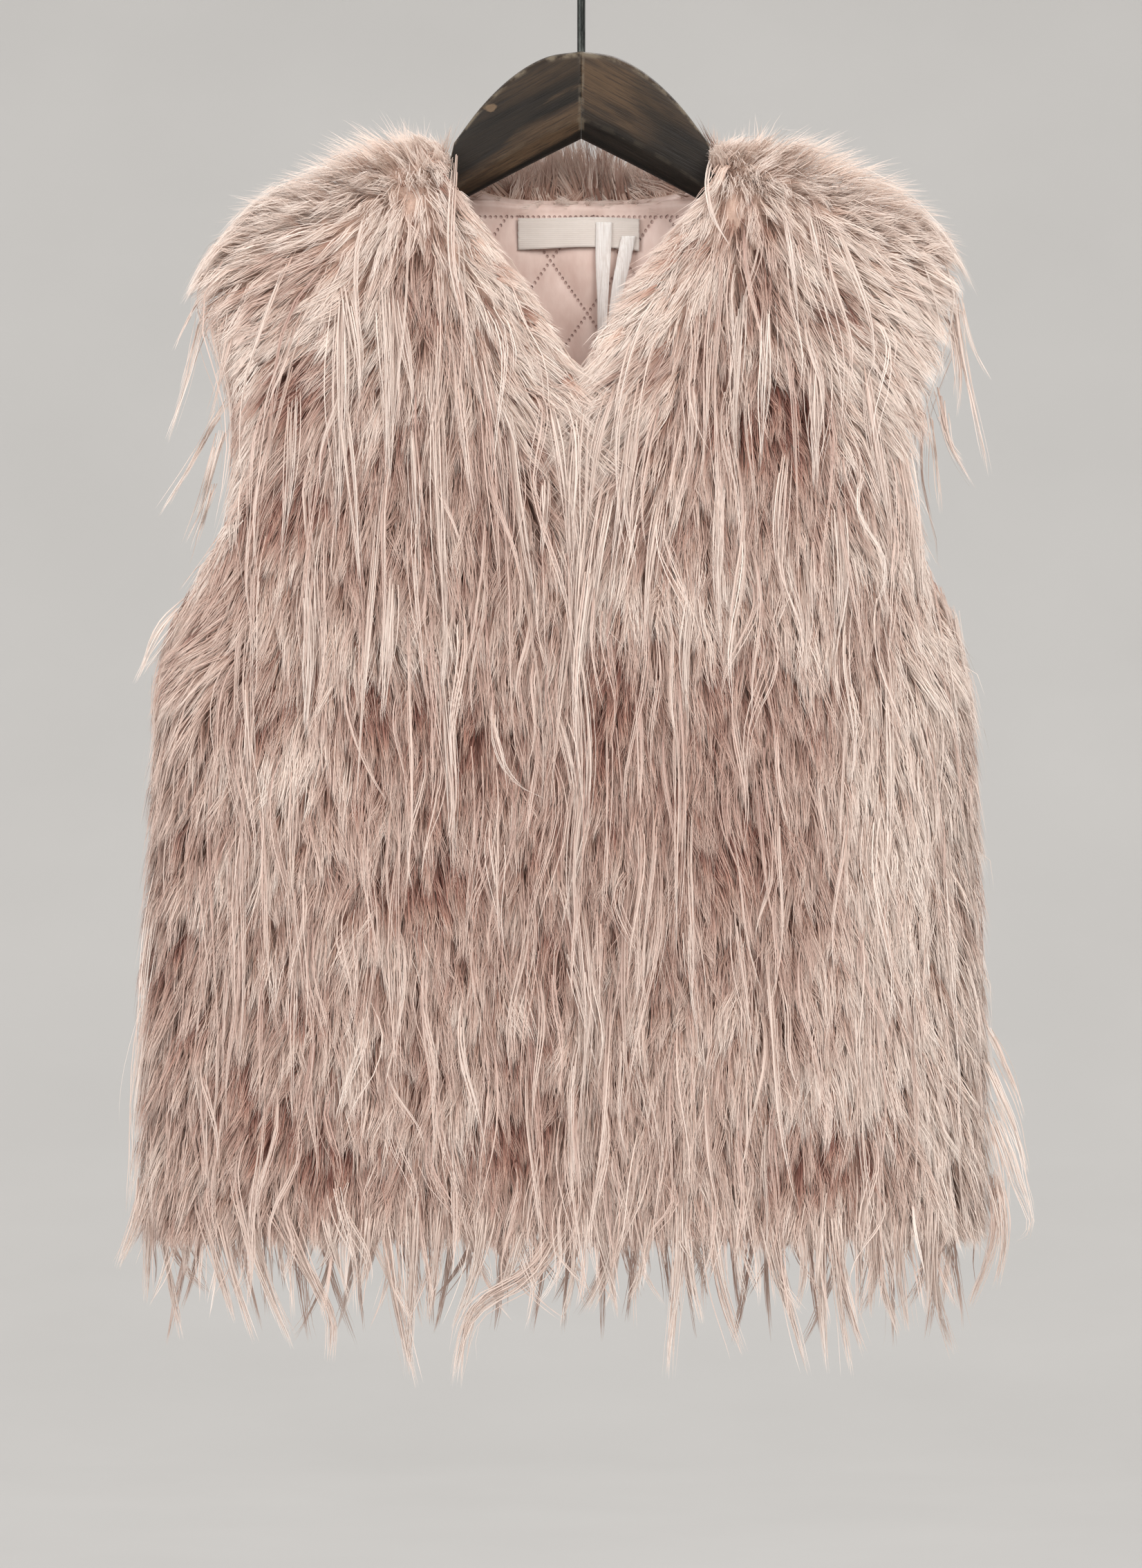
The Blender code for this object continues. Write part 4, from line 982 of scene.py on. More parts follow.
def bundle(spines, aside, number, spread, rng, stray, late=0.12, short=0.45, slim=False):
    """Strands round each spine. They lie apart along it, and are drawn together again at its end.

    Each strand starts up to late of the way along its spine and ends up to short of the way before its end. A
    share of them, stray, stands off. A slim lock narrows all the way."""
    count, rings = spines.shape[:2]
    way = unit(np.gradient(spines, axis=1))
    aside = unit(aside[:, None] - way * dot(aside[:, None], way))
    off = np.cross(way, aside)
    begin = late * rng.random((count, number, 1)) ** 1.5
    end = 1 - short * rng.random((count, number, 1)) ** 1.7
    along = begin + (end - begin) * np.linspace(0, 1, rings)[None, None]
    at = along * (rings - 1)
    low = np.minimum(at.astype(int), rings - 2)
    part = (at - low)[..., None]
    rows = np.arange(count)[:, None, None]
    centre = spines[rows, low] * (1 - part) + spines[rows, low + 1] * part
    shape = LOCK_WAIST + 0.55 * np.sin(np.pi * np.minimum(along * 1.15 + 0.12, 1))
    shape = shape - (LOCK_PINCH - LOCK_WAIST) * along**3
    if slim:
        shape = 0.30 + 0.55 * (1 - along) ** 2.5
    shape = np.maximum(shape, 0.08)
    loose = np.where(rng.random((count, number, 1)) < stray, rng.uniform(2.0, 4.5, (count, number, 1)), 1.0)
    shape = shape * (1 + (loose - 1) * along**1.5)
    place = rng.normal(0, 0.5, (count, number, 1))
    deep = rng.normal(0, 0.28, (count, number, 1))
    width = spread[:, None, None]
    phase = rng.uniform(0, 2 * np.pi, (count, number, 1))
    weave = 0.16 * width * np.sin(2 * np.pi * along * rng.uniform(0.5, 1.4, (count, number, 1)) + phase)
    one = width * place * shape + weave
    two = width * deep * shape
    side = aside[rows, low]
    spine = centre + side * one[..., None] + off[rows, low] * two[..., None]
    roll = np.broadcast_to(rng.normal(0, 0.6, (count, number, 1)), low.shape)
    flat = turned_about(side, way[rows, low], roll)
    wide = LOCK_HALF_WIDTH * rng.uniform(0.6, 1.4, count * number)
    widths = tapered(count * number, rings, wide, root=0.9, power=0.38)
    return spine.reshape(-1, rings, 3), flat.reshape(-1, rings, 3), widths


def locks(panel, rng):
    """Scattered long locks that fall down a panel."""
    count = LOCKS[panel]
    base, normal, pile = places_on(panel, *scattered(panel, count, rng))
    way = comb(base, normal)
    length = 0.045 + 0.095 * rng.beta(1.2, 2.4, count)
    room = base[:, 2] - (HEM_HEIGHT - 0.030)
    length = np.minimum(length, np.maximum(room * rng.uniform(0.75, 1.0, count), 0.02))
    root = base + normal * (pile * 0.8)[:, None]
    start = unit(way + 0.12 * normal)
    clearance = pile + rng.uniform(-0.001, 0.0025, count)
    spine = falling(root, start, length, clearance, LOCK_RINGS - 1)
    t = np.linspace(0, 1, LOCK_RINGS)[None]
    sway, wave = rng.normal(0, 0.0055, (count, 1)), rng.normal(0, 0.0022, (count, 1))
    bend = sway * t**2 + wave * np.sin(2 * np.pi * t)
    sideways = np.cross(normal, way)
    spine = within_reach(spine + sideways[:, None] * bend[..., None], rng, 0)
    spread = 0.0010 + 0.0045 * rng.random(count) ** 2
    made = bundle(spine, sideways, LOCK_STRANDS, spread, rng, stray=0.14, late=0.35, short=0.65)
    tone = 0.20 + 0.56 * paleness(spine[:, LOCK_RINGS // 2], 0.0) + 0.13 * rng.standard_normal(count)
    tone = tone[:, None] + rng.normal(0, 0.12, (count, LOCK_STRANDS))
    return made + (tone.ravel(),)


def placed_locks(table, rng, sink=0.7, stand=0.0025, pale=0.82, short=0.45, slim=False):
    """The locks of a table: each passes smoothly through its points and lies on the fur, at its root in it.

    sink is how high in the pile its root is, as a share of it, and stand how far its middle stands off. Past
    the hem it goes back under the fur's edge."""
    parts = []
    for row in table:
        line = np.array(row[:-2]) / 1000
        width, number = row[-2] / 1000, row[-1]
        steps = np.linalg.norm(np.diff(line, axis=0), axis=1)
        knots = np.concatenate([[0], np.cumsum(steps)])
        at = np.linspace(0, knots[-1], PLACED_LOCK_RINGS)
        x, z = smooth_curve(at, knots, line[:, 0]), smooth_curve(at, knots, line[:, 1])
        t = at / knots[-1]
        above = PILE * (sink + (1 - sink) * np.minimum(t * 4, 1))
        above = above + stand * np.sin(np.pi * np.minimum(t * 1.5, 1))
        below_hem = np.clip(HEM_HEIGHT - z, 0, 1)
        above = above - np.minimum(below_hem * 0.30, 0.014)
        spine = np.stack([x, -(cloth_depth(x, z, False) + above), z], axis=-1)[None]
        aside = np.array([[1.0, 0.0, 0.0]])
        stray = 0.16 if slim else 0.06
        made = bundle(spine, aside, number, np.array([width]), rng, stray, 0.20, short, slim)
        tone = pale + 0.08 * rng.standard_normal() + rng.normal(0, 0.10, number)
        parts.append(made + (tone,))
    return parts


def skin(panel, finish, lining):
    """The cloth with the foot of its fur, as a closed wall: fur outside, lining inside."""
    side, is_back = PANELS[panel]
    up, out = grid_lines(panel, 56, 1.25, 30, 1.6)
    share, across = (g.ravel() for g in np.meshgrid(up, out, indexing="ij"))
    base = cloth(panel, share, across)
    normal = outward(panel, share, across)
    at_seam = np.abs(base[:, 1]) < SEAM_GAP
    normal[at_seam, 1] = 0
    normal[share == 0, 2] = 0
    if not is_back:
        normal[(across == 0) & (np.abs(base[:, 0]) < SEAM_GAP), 0] = 0
    normal = unit(normal)
    if not is_back:
        base[:, 0] = side * np.maximum(np.abs(base[:, 0]), SEAM_GAP / 2)
    bumps = 0.0012 * ripple(base[:, 0] * 1.4, base[:, 2], 0.016, 5)
    foot = pile_depth(panel, base) * FOOT_SHARE + bumps
    points = np.concatenate([base, base + normal * foot[:, None]])
    thing, faces = wall_between(f"skin_{panel}", points, len(up) - 1, len(out) - 1, finish)
    thing.data.materials.append(lining)
    index = np.zeros(len(thing.data.polygons), np.int32)
    index[faces[0] : faces[0] + faces[1]] = 1
    thing.data.polygons.foreach_set("material_index", index)
    return thing


def wall_between(name, points, rows, columns, finish):
    """A closed wall between two grids of points, and how many faces the second and the first have."""
    number = np.arange((rows + 1) * (columns + 1)).reshape(rows + 1, columns + 1)
    a, b, c, d = number[:-1, :-1], number[:-1, 1:], number[1:, 1:], number[1:, :-1]
    inner = np.stack([a, b, c, d], axis=-1).reshape(-1, 4)
    shift = number.size
    outer = inner[:, ::-1] + shift
    rim = np.concatenate([number[0, :-1], number[:-1, -1], number[-1, :0:-1], number[:0:-1, 0]])
    after = np.roll(rim, -1)
    wall = np.stack([after, rim, rim + shift, after + shift], axis=1)
    thing = mesh_object(name, points, np.concatenate([outer, inner, wall]), finish)
    return turned_out(thing), (len(outer), len(inner))


def lining_front(x, z):
    """y of the lining's seen face: in front of the back's cloth, puffed in diamonds between stitch lines.

    The puff is the product of two sines, one across each set of lines."""
    plain = cloth_depth(x, z, True) - LINING_CLEARANCE - LINING_THICK
    right, up = (x - QUILT_CORNER[0]) / QUILT_HALF[0], (z - QUILT_CORNER[1]) / QUILT_HALF[1]
    puff = QUILT_PUFF * np.abs(np.sin(np.pi / 2 * (right + up)) * np.sin(np.pi / 2 * (right - up))) ** 0.6
    band = smooth_step(-0.1345, -0.1310, z)
    puff = puff * (1 - band) + 0.0011 * band * (1 - ((z + 0.1305) / 0.0035) ** 2).clip(0, 1)
    return plain - puff


def quilted_lining(finish):
    """The part of the lining that shows: a thin wall with a quilted face, turned back at its edges."""
    wide, tall = LINING_SIZE
    rows, columns = 74, 70
    x, row = np.meshgrid(np.linspace(-wide / 2, wide / 2, columns + 1), np.linspace(0, 1, rows + 1))
    top = np.minimum(neck_line(np.abs(x)) - 0.0015, LINING_TOP + 0.0083)
    z = top + (LINING_TOP - tall - top) * row
    seen = lining_front(x, z)
    from_side = np.minimum(x + wide / 2, wide / 2 - x) / wide * columns
    edge = np.minimum(np.minimum(row, 1 - row) * rows, from_side)
    seen = seen + 0.0005 * (1 - np.clip(edge, 0, 1))
    far = cloth_depth(x, z, True) - LINING_CLEARANCE
    points = np.stack([np.stack([x, y, z], axis=-1) for y in (far, seen)]).reshape(-1, 3)
    return wall_between("lining_neck", points, rows, columns, finish)[0]


def label_grid(u, v):
    """Places of the label at shares u across and v up, each from -1 to 1, with ends cut in small teeth."""
    wide, tall = LABEL_SIZE
    teeth = 0.00035 * np.abs(((v * 3.0 + 0.5) % 1) - 0.5) * 2 * (np.abs(u) > 0.999) * np.sign(u)
    x = LABEL_CENTRE[0] + u * wide / 2 - teeth
    tilt = 0.020 * u * wide / 2
    sag = 0.0008 * u**2 * (v < 0)
    z = LABEL_CENTRE[1] + v * tall / 2 - tilt + 0.0005 * np.sin(u * 2.4 + 0.6) - sag
    return x, z


def label(finish):
    """A bare woven label, a little bowed, sewn down along its top edge."""
    columns, rows = 60, 14
    u, v = np.meshgrid(np.linspace(-1, 1, columns + 1), np.linspace(-1, 1, rows + 1))
    x, z = label_grid(u, v)
    behind = cloth_depth(x, z, True) - LINING_CLEARANCE - LINING_THICK - QUILT_PUFF - SEAM_GAP
    bow = 0.0008 * (1 - u**2) * (1 - v) / 2 + 0.00025 * np.sin(u * 7) * (1 - v) / 2
    fold = 0.0002 * np.exp(-(((v - 0.86) / 0.06) ** 2))
    far = behind - bow
    near = far - LABEL_THICK + fold
    points = np.stack([np.stack([x, y, z], axis=-1) for y in (far, near)]).reshape(-1, 3)
    return wall_between("label_bare", points, rows, columns, finish)[0]


def tape(name, table, twist, finish):
    """A clear hanging tape, folded along its middle, which narrows as it turns on its side."""
    rows, columns = 40, 8
    t, u = np.meshgrid(np.linspace(0, 1, rows + 1), np.linspace(-1, 1, columns + 1), indexing="ij")
    knots = np.linspace(0, 1, len(table))
    at_knots = dict(zip(TAPE_COLUMNS, np.array(table).T / 1000))
    middle_x, middle_z, width, lift = (smooth_curve(t, knots, at_knots[name]) for name in TAPE_COLUMNS)
    half = width / 2
    x = middle_x + half * u * np.cos(twist * t)
    z = middle_z + 0.0002 * np.sin(t * 40) * u
    stand = LINING_CLEARANCE + LINING_THICK + QUILT_PUFF + LABEL_THICK + 0.0016 + lift
    y = cloth_depth(x, z, True) - stand - half * u * np.sin(twist * t) + 0.0005 * np.abs(u)
    far = np.stack([x, y, z], axis=-1)
    near = far - (0, TAPE_THICK, 0)
    points = np.concatenate([far.reshape(-1, 3), near.reshape(-1, 3)])
    return wall_between(name, points, rows, columns, finish)[0]


def through_rings(name, rings, ends, finish):
    """A closed piece through rings of points, with a fan of triangles to a point at either end."""
    count, sides = rings.shape[:2]
    number = np.arange(count * sides).reshape(count, sides)
    after = np.roll(number, -1, axis=1)
    walls = np.stack([number[:-1], after[:-1], after[1:], number[1:]], axis=-1).reshape(-1, 4)
    split = np.concatenate([walls[:, [0, 1, 2]], walls[:, [0, 2, 3]]])
    first = np.stack([after[0], number[0], np.full(sides, count * sides)], axis=1)
    last = np.stack([number[-1], after[-1], np.full(sides, count * sides + 1)], axis=1)
    points = np.concatenate([rings.reshape(-1, 3), ends])
    return turned_out(mesh_object(name, points, np.concatenate([split, first, last]), finish))


def tube(name, line, radius, sides, finish):
    """A round tube along a line in the plane y = 0, with flat ends."""
    line = np.asarray(line, float)
    way = unit(np.gradient(line, axis=0))
    normal = np.stack([-way[:, 1], way[:, 0]], axis=1)
    turn = np.linspace(0, 2 * np.pi, sides, endpoint=False)
    out = radius[:, None] * np.cos(turn)[None]
    x = line[:, :1] + normal[:, :1] * out
    z = line[:, 1:] + normal[:, 1:] * out
    y = radius[:, None] * np.sin(turn)[None]
    ends = [[line[end, 0], 0, line[end, 1]] for end in (0, -1)]
    return through_rings(name, np.stack([x, y, z], axis=-1), ends, finish)


def hook(finish):
    """The stem, a reverse bend and the round of the hook, as one wire whose tip is rounded off."""
    ring = HOOK_INSIDE_RADIUS + WIRE_RADIUS
    centre = -HOOK_INSIDE_RADIUS
    rise = np.sqrt((HOOK_BEND_RADIUS + ring) ** 2 - HOOK_BEND_RADIUS**2)
    bend_start = centre - rise
    meeting = np.arctan2(-rise, HOOK_BEND_RADIUS)
    seat = WOOD_EDGES[0][1] - STEM_IN_WOOD
    stem = [(0.0, z) for z in np.linspace(seat, bend_start, 12)[:-1]]
    bend = np.linspace(np.pi, np.pi + meeting, 13)[:-1]
    bend_x, bend_z = HOOK_BEND_RADIUS * (1 + np.cos(bend)), bend_start + HOOK_BEND_RADIUS * np.sin(bend)
    turn = np.linspace(meeting, np.radians(HOOK_END_ANGLE), 61)
    line = stem + list(zip(bend_x, bend_z)) + list(zip(ring * np.cos(turn), centre + ring * np.sin(turn)))
    radius = np.full(len(line), WIRE_RADIUS)
    radius[-3:] = WIRE_RADIUS * np.array([0.97, 0.85, 0.45])
    return tube("hook_round", line, radius, 16, finish)


def wood_half(side, finish):
    """One half of the hanger: a section with rounded top edges and a bevel under, carried along its arm.

    The attribute of wear and painted highlight is 1 on the section's corners and at the mitre, and fades off
    them: it marks wear there, and a highlight painted along the edges."""
    by_mitre = np.array([0, 0.0003, 0.0008])
    by_tip = ARM_TIP - np.array([0.0025, 0.0012, 0.0])
    station = np.concatenate([by_mitre, np.linspace(0.002, ARM_TIP - ARM_TIP_ROUND, 62), by_tip])
    from_tip = np.clip((ARM_TIP - station) / ARM_TIP_ROUND, 0, 1)
    end = np.sqrt(1 - (1 - from_tip) ** 2) * 0.55 + 0.45
    mitre = 1 - 0.05 * (1 - smooth_step(0.0, 0.0008, station))
    top = from_table(station, WOOD_EDGES, WOOD_COLUMNS, "top")
    under = shoulder_height(station) - ARM_CLEARANCE
    top = np.where(station > ARM_START, np.minimum(top, under), top)
    bottom = from_table(station, WOOD_EDGES, WOOD_COLUMNS, "bottom")
    deep = np.interp(station, (0.020, ARM_START), (WOOD_HALF_DEPTH, ARM_HALF_DEPTH)) * end * mitre
    tall = (top - bottom) / 2 * end
    middle = (top + bottom) / 2
    section = list(WOOD_SECTION) + [(-a, b, w) for a, b, w in WOOD_SECTION[-2:0:-1]]
    across, up, wear_and_highlight = (np.array(column) for column in zip(*section))
    x = side * (station[:, None] + 0.00002) + 0 * across
    y = -deep[:, None] * across
    z = middle[:, None] + tall[:, None] * up
    ends = [[x[end, 0], 0, middle[end]] for end in (0, -1)]
    name = "wood_left" if side > 0 else "wood_right"
    wood = through_rings(name, np.stack([x, y, z], axis=-1), ends, finish)
    # Wear and painted edge highlight at each point; the mitre's rings count as worn
    worn = np.maximum(wear_and_highlight[None], 0.7 * (station < 0.001)[:, None]).ravel()
    layer = wood.data.attributes.new("wear_and_highlight", "FLOAT", "POINT")
    layer.data.foreach_set("value", np.append(worn, [0, 0]).astype(np.float32))
    return wood


class Value:
    """A number that a material's nodes work out. The usual signs join it to others through more nodes."""

    def __init__(self, finish, socket):
        self.finish, self.socket = finish, socket

    def __add__(self, other):
        return self.finish.math("ADD", self, other)

    def __sub__(self, other):
        return self.finish.math("SUBTRACT", self, other)

    def __rsub__(self, other):
        return self.finish.math("SUBTRACT", other, self)

    def __mul__(self, other):
        return self.finish.math("MULTIPLY", self, other)

    def __truediv__(self, other):
        return self.finish.math("DIVIDE", self, other)

    def __abs__(self):
        return self.finish.math("ABSOLUTE", self)


class Finish:
    """A material and short ways to add and join its nodes. Keywords set the sockets of its shader."""

    def __init__(self, name, **values):
        self.made = bpy.data.materials.new(name)
        self.made.use_nodes = True
        self.tree = self.made.node_tree
        self.shader = self.tree.nodes["Principled BSDF"]
        for key, value in values.items():
            self.shader.inputs[key.replace("_", " ")].default_value = value

    def add(self, kind, **fields):
        node = self.tree.nodes.new(kind)
        for key, value in fields.items():
            setattr(node, key, value)
        return node

    def put(self, value, socket):
        """Give a socket a number or a colour, or join it to what another node works out."""
        if isinstance(value, (int, float)):
            socket.default_value = value
        elif isinstance(value, tuple):
            socket.default_value = (*value, 1)
        else:
            self.tree.links.new(getattr(value, "socket", value), socket)

    def fill(self, node, *values):
        """Give a node's first sockets their values, in order."""
        for value, socket in zip(values, node.inputs):
            self.put(value, socket)
        return node

    def feed(self, source, name):
        self.put(source, self.shader.inputs[name])

    def math(self, operation, *values):
        node = self.fill(self.add("ShaderNodeMath", operation=operation), *values)
        return Value(self, node.outputs[0])

    def between(self, value, low, high, to_low=0.0, to_high=1.0):
        """A number that goes smoothly from to_low to to_high while value goes from low to high."""
        node = self.add("ShaderNodeMapRange", interpolation_type="SMOOTHSTEP")
        self.fill(node, value, low, high, to_low, to_high)
        return Value(self, node.outputs[0])

    def ramp(self, source, *stops):
        node = self.add("ShaderNodeValToRGB")
        while len(node.color_ramp.elements) < len(stops):
            node.color_ramp.elements.new(0.5)
        for element, (place, colour) in zip(node.color_ramp.elements, stops):
            element.position = place
            element.color = (*colour, 1)
        self.put(source, node.inputs[0])
        return node.outputs[0]

    def mix(self, share, one, two, blend="MIX"):
        node = self.add("ShaderNodeMix", data_type="RGBA", blend_type=blend)
        for place, value in ((0, share), (6, one), (7, two)):
            self.put(value, node.inputs[place])
        return node.outputs[2]

    def noise(self, vector, scale=1.0, detail=3.0, rough=0.5):
        node = self.add("ShaderNodeTexNoise")
        for name, value in (("Vector", vector), ("Scale", scale), ("Detail", detail), ("Roughness", rough)):
            self.put(value, node.inputs[name])
        return Value(self, node.outputs["Fac"])

    def place(self, scale=(1, 1, 1)):
        """Object coordinates, stretched."""
        mapping = self.add("ShaderNodeMapping")
        mapping.inputs["Scale"].default_value = scale
        self.put(self.add("ShaderNodeTexCoord").outputs["Object"], mapping.inputs["Vector"])
        return mapping.outputs[0]

    def split(self, vector):
        node = self.fill(self.add("ShaderNodeSeparateXYZ"), vector)
        return [Value(self, output) for output in node.outputs]

    def combine(self, x, y, z):
        return self.fill(self.add("ShaderNodeCombineXYZ"), x, y, z).outputs[0]

    def bump(self, height, distance):
        node = self.add("ShaderNodeBump")
        self.put(distance, node.inputs["Distance"])
        self.put(1.0, node.inputs["Strength"])
        self.put(height, node.inputs["Height"])
        self.feed(node.outputs[0], "Normal")


def fur_finish(name, dark, pale, roughness):
    """Colour along a strand from its root to its tip, between a darker and a paler kind of strand.

    Fine lines along the strand are a sine of the map's u."""
    tint = (1.0, 0.90, 0.85, 1)
    fur = Finish(name, Roughness=roughness, Sheen_Weight=0.16, Sheen_Roughness=0.4, Sheen_Tint=tint)
    fur.feed(0.18, "Specular IOR Level")
    u, v, _ = fur.split(fur.add("ShaderNodeUVMap", uv_map="OFBake").outputs[0])
    colour = fur.mix(u, fur.ramp(v, *dark), fur.ramp(v, *pale))
    fine = fur.math("MULTIPLY_ADD", fur.math("SINE", u * 620.0), 0.5, 0.5)
    shade = fur.mix(1.0, colour, (0.84, 0.80, 0.79), "MULTIPLY")
    fur.feed(fur.mix(fine, colour, shade), "Base Color")
    return fur.made


def foot_finish():
    """The foot of the fur: mauve, in short dark streaks, and paler on the shoulders."""
    foot = Finish("fur_foot", Roughness=0.9, Sheen_Weight=0.3)
    streaks = foot.noise(foot.place((900, 900, 90)))
    blotch = foot.noise(foot.place(), 45.0, 2.0)
    colour = foot.ramp(streaks, (0.3, (0.21, 0.090, 0.070)), (0.7, (0.45, 0.255, 0.205)))
    colour = foot.mix(blotch, colour, (0.35, 0.185, 0.148))
    _, _, z = foot.split(foot.place())
    on_shoulder = foot.between(z, -0.22, -0.15, 0.0, 0.75)
    foot.feed(foot.mix(on_shoulder, colour, (0.74, 0.545, 0.445)), "Base Color")
    foot.bump(streaks, 0.0015)
    return foot.made


def lining_finish():
    """Dusty pink satin with needle holes along the stitch lines, in diamonds and in a row under the neck.

    A hole is a soft dot at each step of a stitch line. How far a point is from it is the root of the squares
    of how far it is from the line and from the nearest step along it."""
    tint = (1.0, 0.90, 0.88, 1)
    lining = Finish("lining_satin", Roughness=0.38, Sheen_Weight=0.35, Sheen_Roughness=0.3, Sheen_Tint=tint)
    x, _, z = lining.split(lining.place())
    right = (x - QUILT_CORNER[0]) / QUILT_HALF[0]
    up = (z - QUILT_CORNER[1]) / QUILT_HALF[1]
    a, b = right + up, right - up
    side = float(np.hypot(*QUILT_HALF))
    spacing = QUILT_HALF[0] * QUILT_HALF[1] / side

    def to_nearest(value, step):
        return lining.math("PINGPONG", value, step)

    row = abs(z - STITCH_ROW_HEIGHT)
    stitches = [(row, to_nearest(x, STITCH_STEP / 2))]
    for across, along in ((a, b), (b, a)):
        stitches.append((to_nearest(across, 1.0) * spacing, to_nearest(along * (side / 2), STITCH_STEP / 2)))
    holes = 0.0
    for line, step in stitches:
        far = lining.math("SQRT", line * line + step * step)
        holes = lining.math("MAXIMUM", holes, lining.between(far, 0.00022, 0.00075, 1.0, 0.0))
    below = lining.between(z, STITCH_ROW_HEIGHT - 0.0010, STITCH_ROW_HEIGHT, 1.0, 0.0)
    near_row = lining.between(row, 0.0008, 0.0012, 1.0, 0.0)
    holes = holes * lining.math("MAXIMUM", below, near_row)
    wrinkle = lining.noise(lining.place((260, 260, 120)))
    tone = lining.ramp(wrinkle, (0.25, (0.66, 0.485, 0.43)), (0.75, (0.76, 0.60, 0.54)))
    lining.feed(lining.mix(holes * 0.65, tone, (0.42, 0.25, 0.225)), "Base Color")
    lining.bump(wrinkle * 0.35 - holes, 0.0005)
    return lining.made


def label_finish():
    """White satin, woven in fine ribs."""
    satin = Finish("label_satin", Roughness=0.33, Sheen_Weight=0.3)
    x, _, z = satin.split(satin.place())
    ribs = satin.math("SINE", z * (2 * np.pi / 0.00042))
    warp = satin.math("SINE", x * (2 * np.pi / 0.0003))
    soft = satin.noise(satin.place((60, 60, 200)), detail=2.0)
    satin.feed(satin.ramp(soft, (0.3, (0.66, 0.595, 0.55)), (0.7, (0.73, 0.67, 0.625))), "Base Color")
    satin.bump(ribs + warp * 0.5 + soft * 4.0, 0.00003)
    return satin.made


def tape_finish():
    """Clear plastic tape with fine lengthwise lines and small crinkles. Bright streaks of reflection are
    painted along the lines.
    """
    clear = Finish("clear_tape", Alpha=0.66, IOR=1.40)
    lines = clear.noise(clear.place((2600, 2600, 60)), detail=2.0)
    crinkle = clear.noise(clear.place((500, 500, 700)))
    # Painted reflection: paler streaks along the fine lines
    clear.feed(clear.ramp(lines, (0.38, (0.84, 0.79, 0.76)), (0.58, (1.0, 0.985, 0.97))), "Base Color")
    clear.feed(clear.between(crinkle, 0.35, 0.75, 0.20, 0.36), "Roughness")
    clear.bump(lines, 0.00002)
    return clear.made


def wood_finish():
    """Dark stained wood, rubbed brown. Its grain follows each arm and meets in a chevron at the mitre.

    grain runs across the grain and along runs with it. Left and right are those of the photograph."""
    wood = Finish("dark_wood", Coat_Weight=0.05, Coat_Roughness=0.35)
    wood.feed(0.20, "Specular IOR Level")
    x, y, z = wood.split(wood.place())
    off_mitre = abs(x)
    grain = z + off_mitre * GRAIN_SLOPE
    along = off_mitre - z * GRAIN_SLOPE
    on_right = wood.math("GREATER_THAN", x, 0.0)
    shift = on_right * 3.7
    streak = wood.noise(wood.combine(along * 26.0, y * 160.0 + shift, grain * 210.0), detail=5.0, rough=0.6)
    patch = wood.noise(wood.combine(along * 14.0, y * 40.0 + shift, grain * 62.0), rough=0.55)
    pores = wood.noise(wood.combine(along * 60.0, y * 900.0, grain * 1500.0), rough=0.6)

    # Where the stain is rubbed brown: a band low on the left, the top, streaks high up by the mitre, the side
    # of the mitre on the right, and a few patches
    ragged = grain + (patch - 0.5) * 0.022
    by_mitre = off_mitre + (streak - 0.5) * 0.030
    left_band = wood.between(ragged, -0.0915, -0.0885, 1.0, 0.0) * (1.0 - on_right)
    top = wood.between(ragged, -0.080, -0.072, 0.0, 0.42)
    high_streaks = wood.between(streak, 0.54, 0.66) * 0.55 * wood.between(off_mitre, 0.014, 0.030, 1.0, 0.0)
    right_side = wood.between(ragged, -0.0960, -0.0900) * wood.between(by_mitre, 0.018, 0.034, 1.0, 0.0)
    patches = wood.between(patch, 0.60, 0.68, 0.0, 0.7)
    brown = 0.0
    for place in (left_band, top, high_streaks, right_side * on_right, patches):
        brown = wood.math("MAXIMUM", brown, place)
    stain = wood.mix(brown, (0.013, 0.0100, 0.0075), (0.057, 0.0365, 0.0215))

    lines = wood.ramp(streak, (0.35, (0.45, 0.42, 0.40)), (0.62, (1.25, 1.2, 1.15)))
    colour = wood.mix(1.0, stain, lines, "MULTIPLY")
    colour = wood.mix(wood.between(pores, 0.52, 0.62, 0.0, 0.55), colour, (0.012, 0.009, 0.008))
    # Paler on the corners: wear, and a highlight painted along the edges
    worn = wood.add("ShaderNodeAttribute", attribute_name="wear_and_highlight").outputs["Fac"]
    scuff = wood.noise(wood.place((150, 150, 150)), detail=4.0, rough=0.6)
    rubbed = wood.between(worn, 0.30, 1.0) * wood.between(scuff, 0.42, 0.60)
    colour = wood.mix(rubbed, colour, (0.13, 0.105, 0.075))
    # Painted shade: near black along the bevel under the middle, which faces down
    under = wood.between(grain, -0.1012, -0.0998, 1.0, 0.0)
    colour = wood.mix(under * 0.95, colour, (0.006, 0.005, 0.004))
    chip_x, chip_z = (x - CHIP[0]) * 0.6, z - CHIP[1]
    far = (scuff - 0.5) * 0.006 + wood.math("SQRT", chip_x * chip_x + chip_z * chip_z)
    colour = wood.mix(wood.between(far, 0.0006, 0.0015, 0.8, 0.0), colour, (0.14, 0.092, 0.055))
    wood.feed(colour, "Base Color")
    wood.feed(wood.between(streak, 0.3, 0.7, 0.45, 0.62), "Roughness")
    wood.bump(pores * -0.5 + streak * 0.5, 0.0004)
    return wood.made


def wire_finish():
    """Black painted wire, worn in fine scratches."""
    wire = Finish("black_wire", Metallic=0.75, Roughness=0.32)
    scratch = wire.noise(wire.place((900, 900, 120)), detail=4.0, rough=0.65)
    wire.feed(wire.ramp(scratch, (0.45, (0.020, 0.023, 0.022)), (0.70, (0.10, 0.11, 0.10))), "Base Color")
    wire.feed(wire.between(scratch, 0.3, 0.7, 0.24, 0.45), "Roughness")
    wire.bump(scratch, 0.0002)
    return wire.made


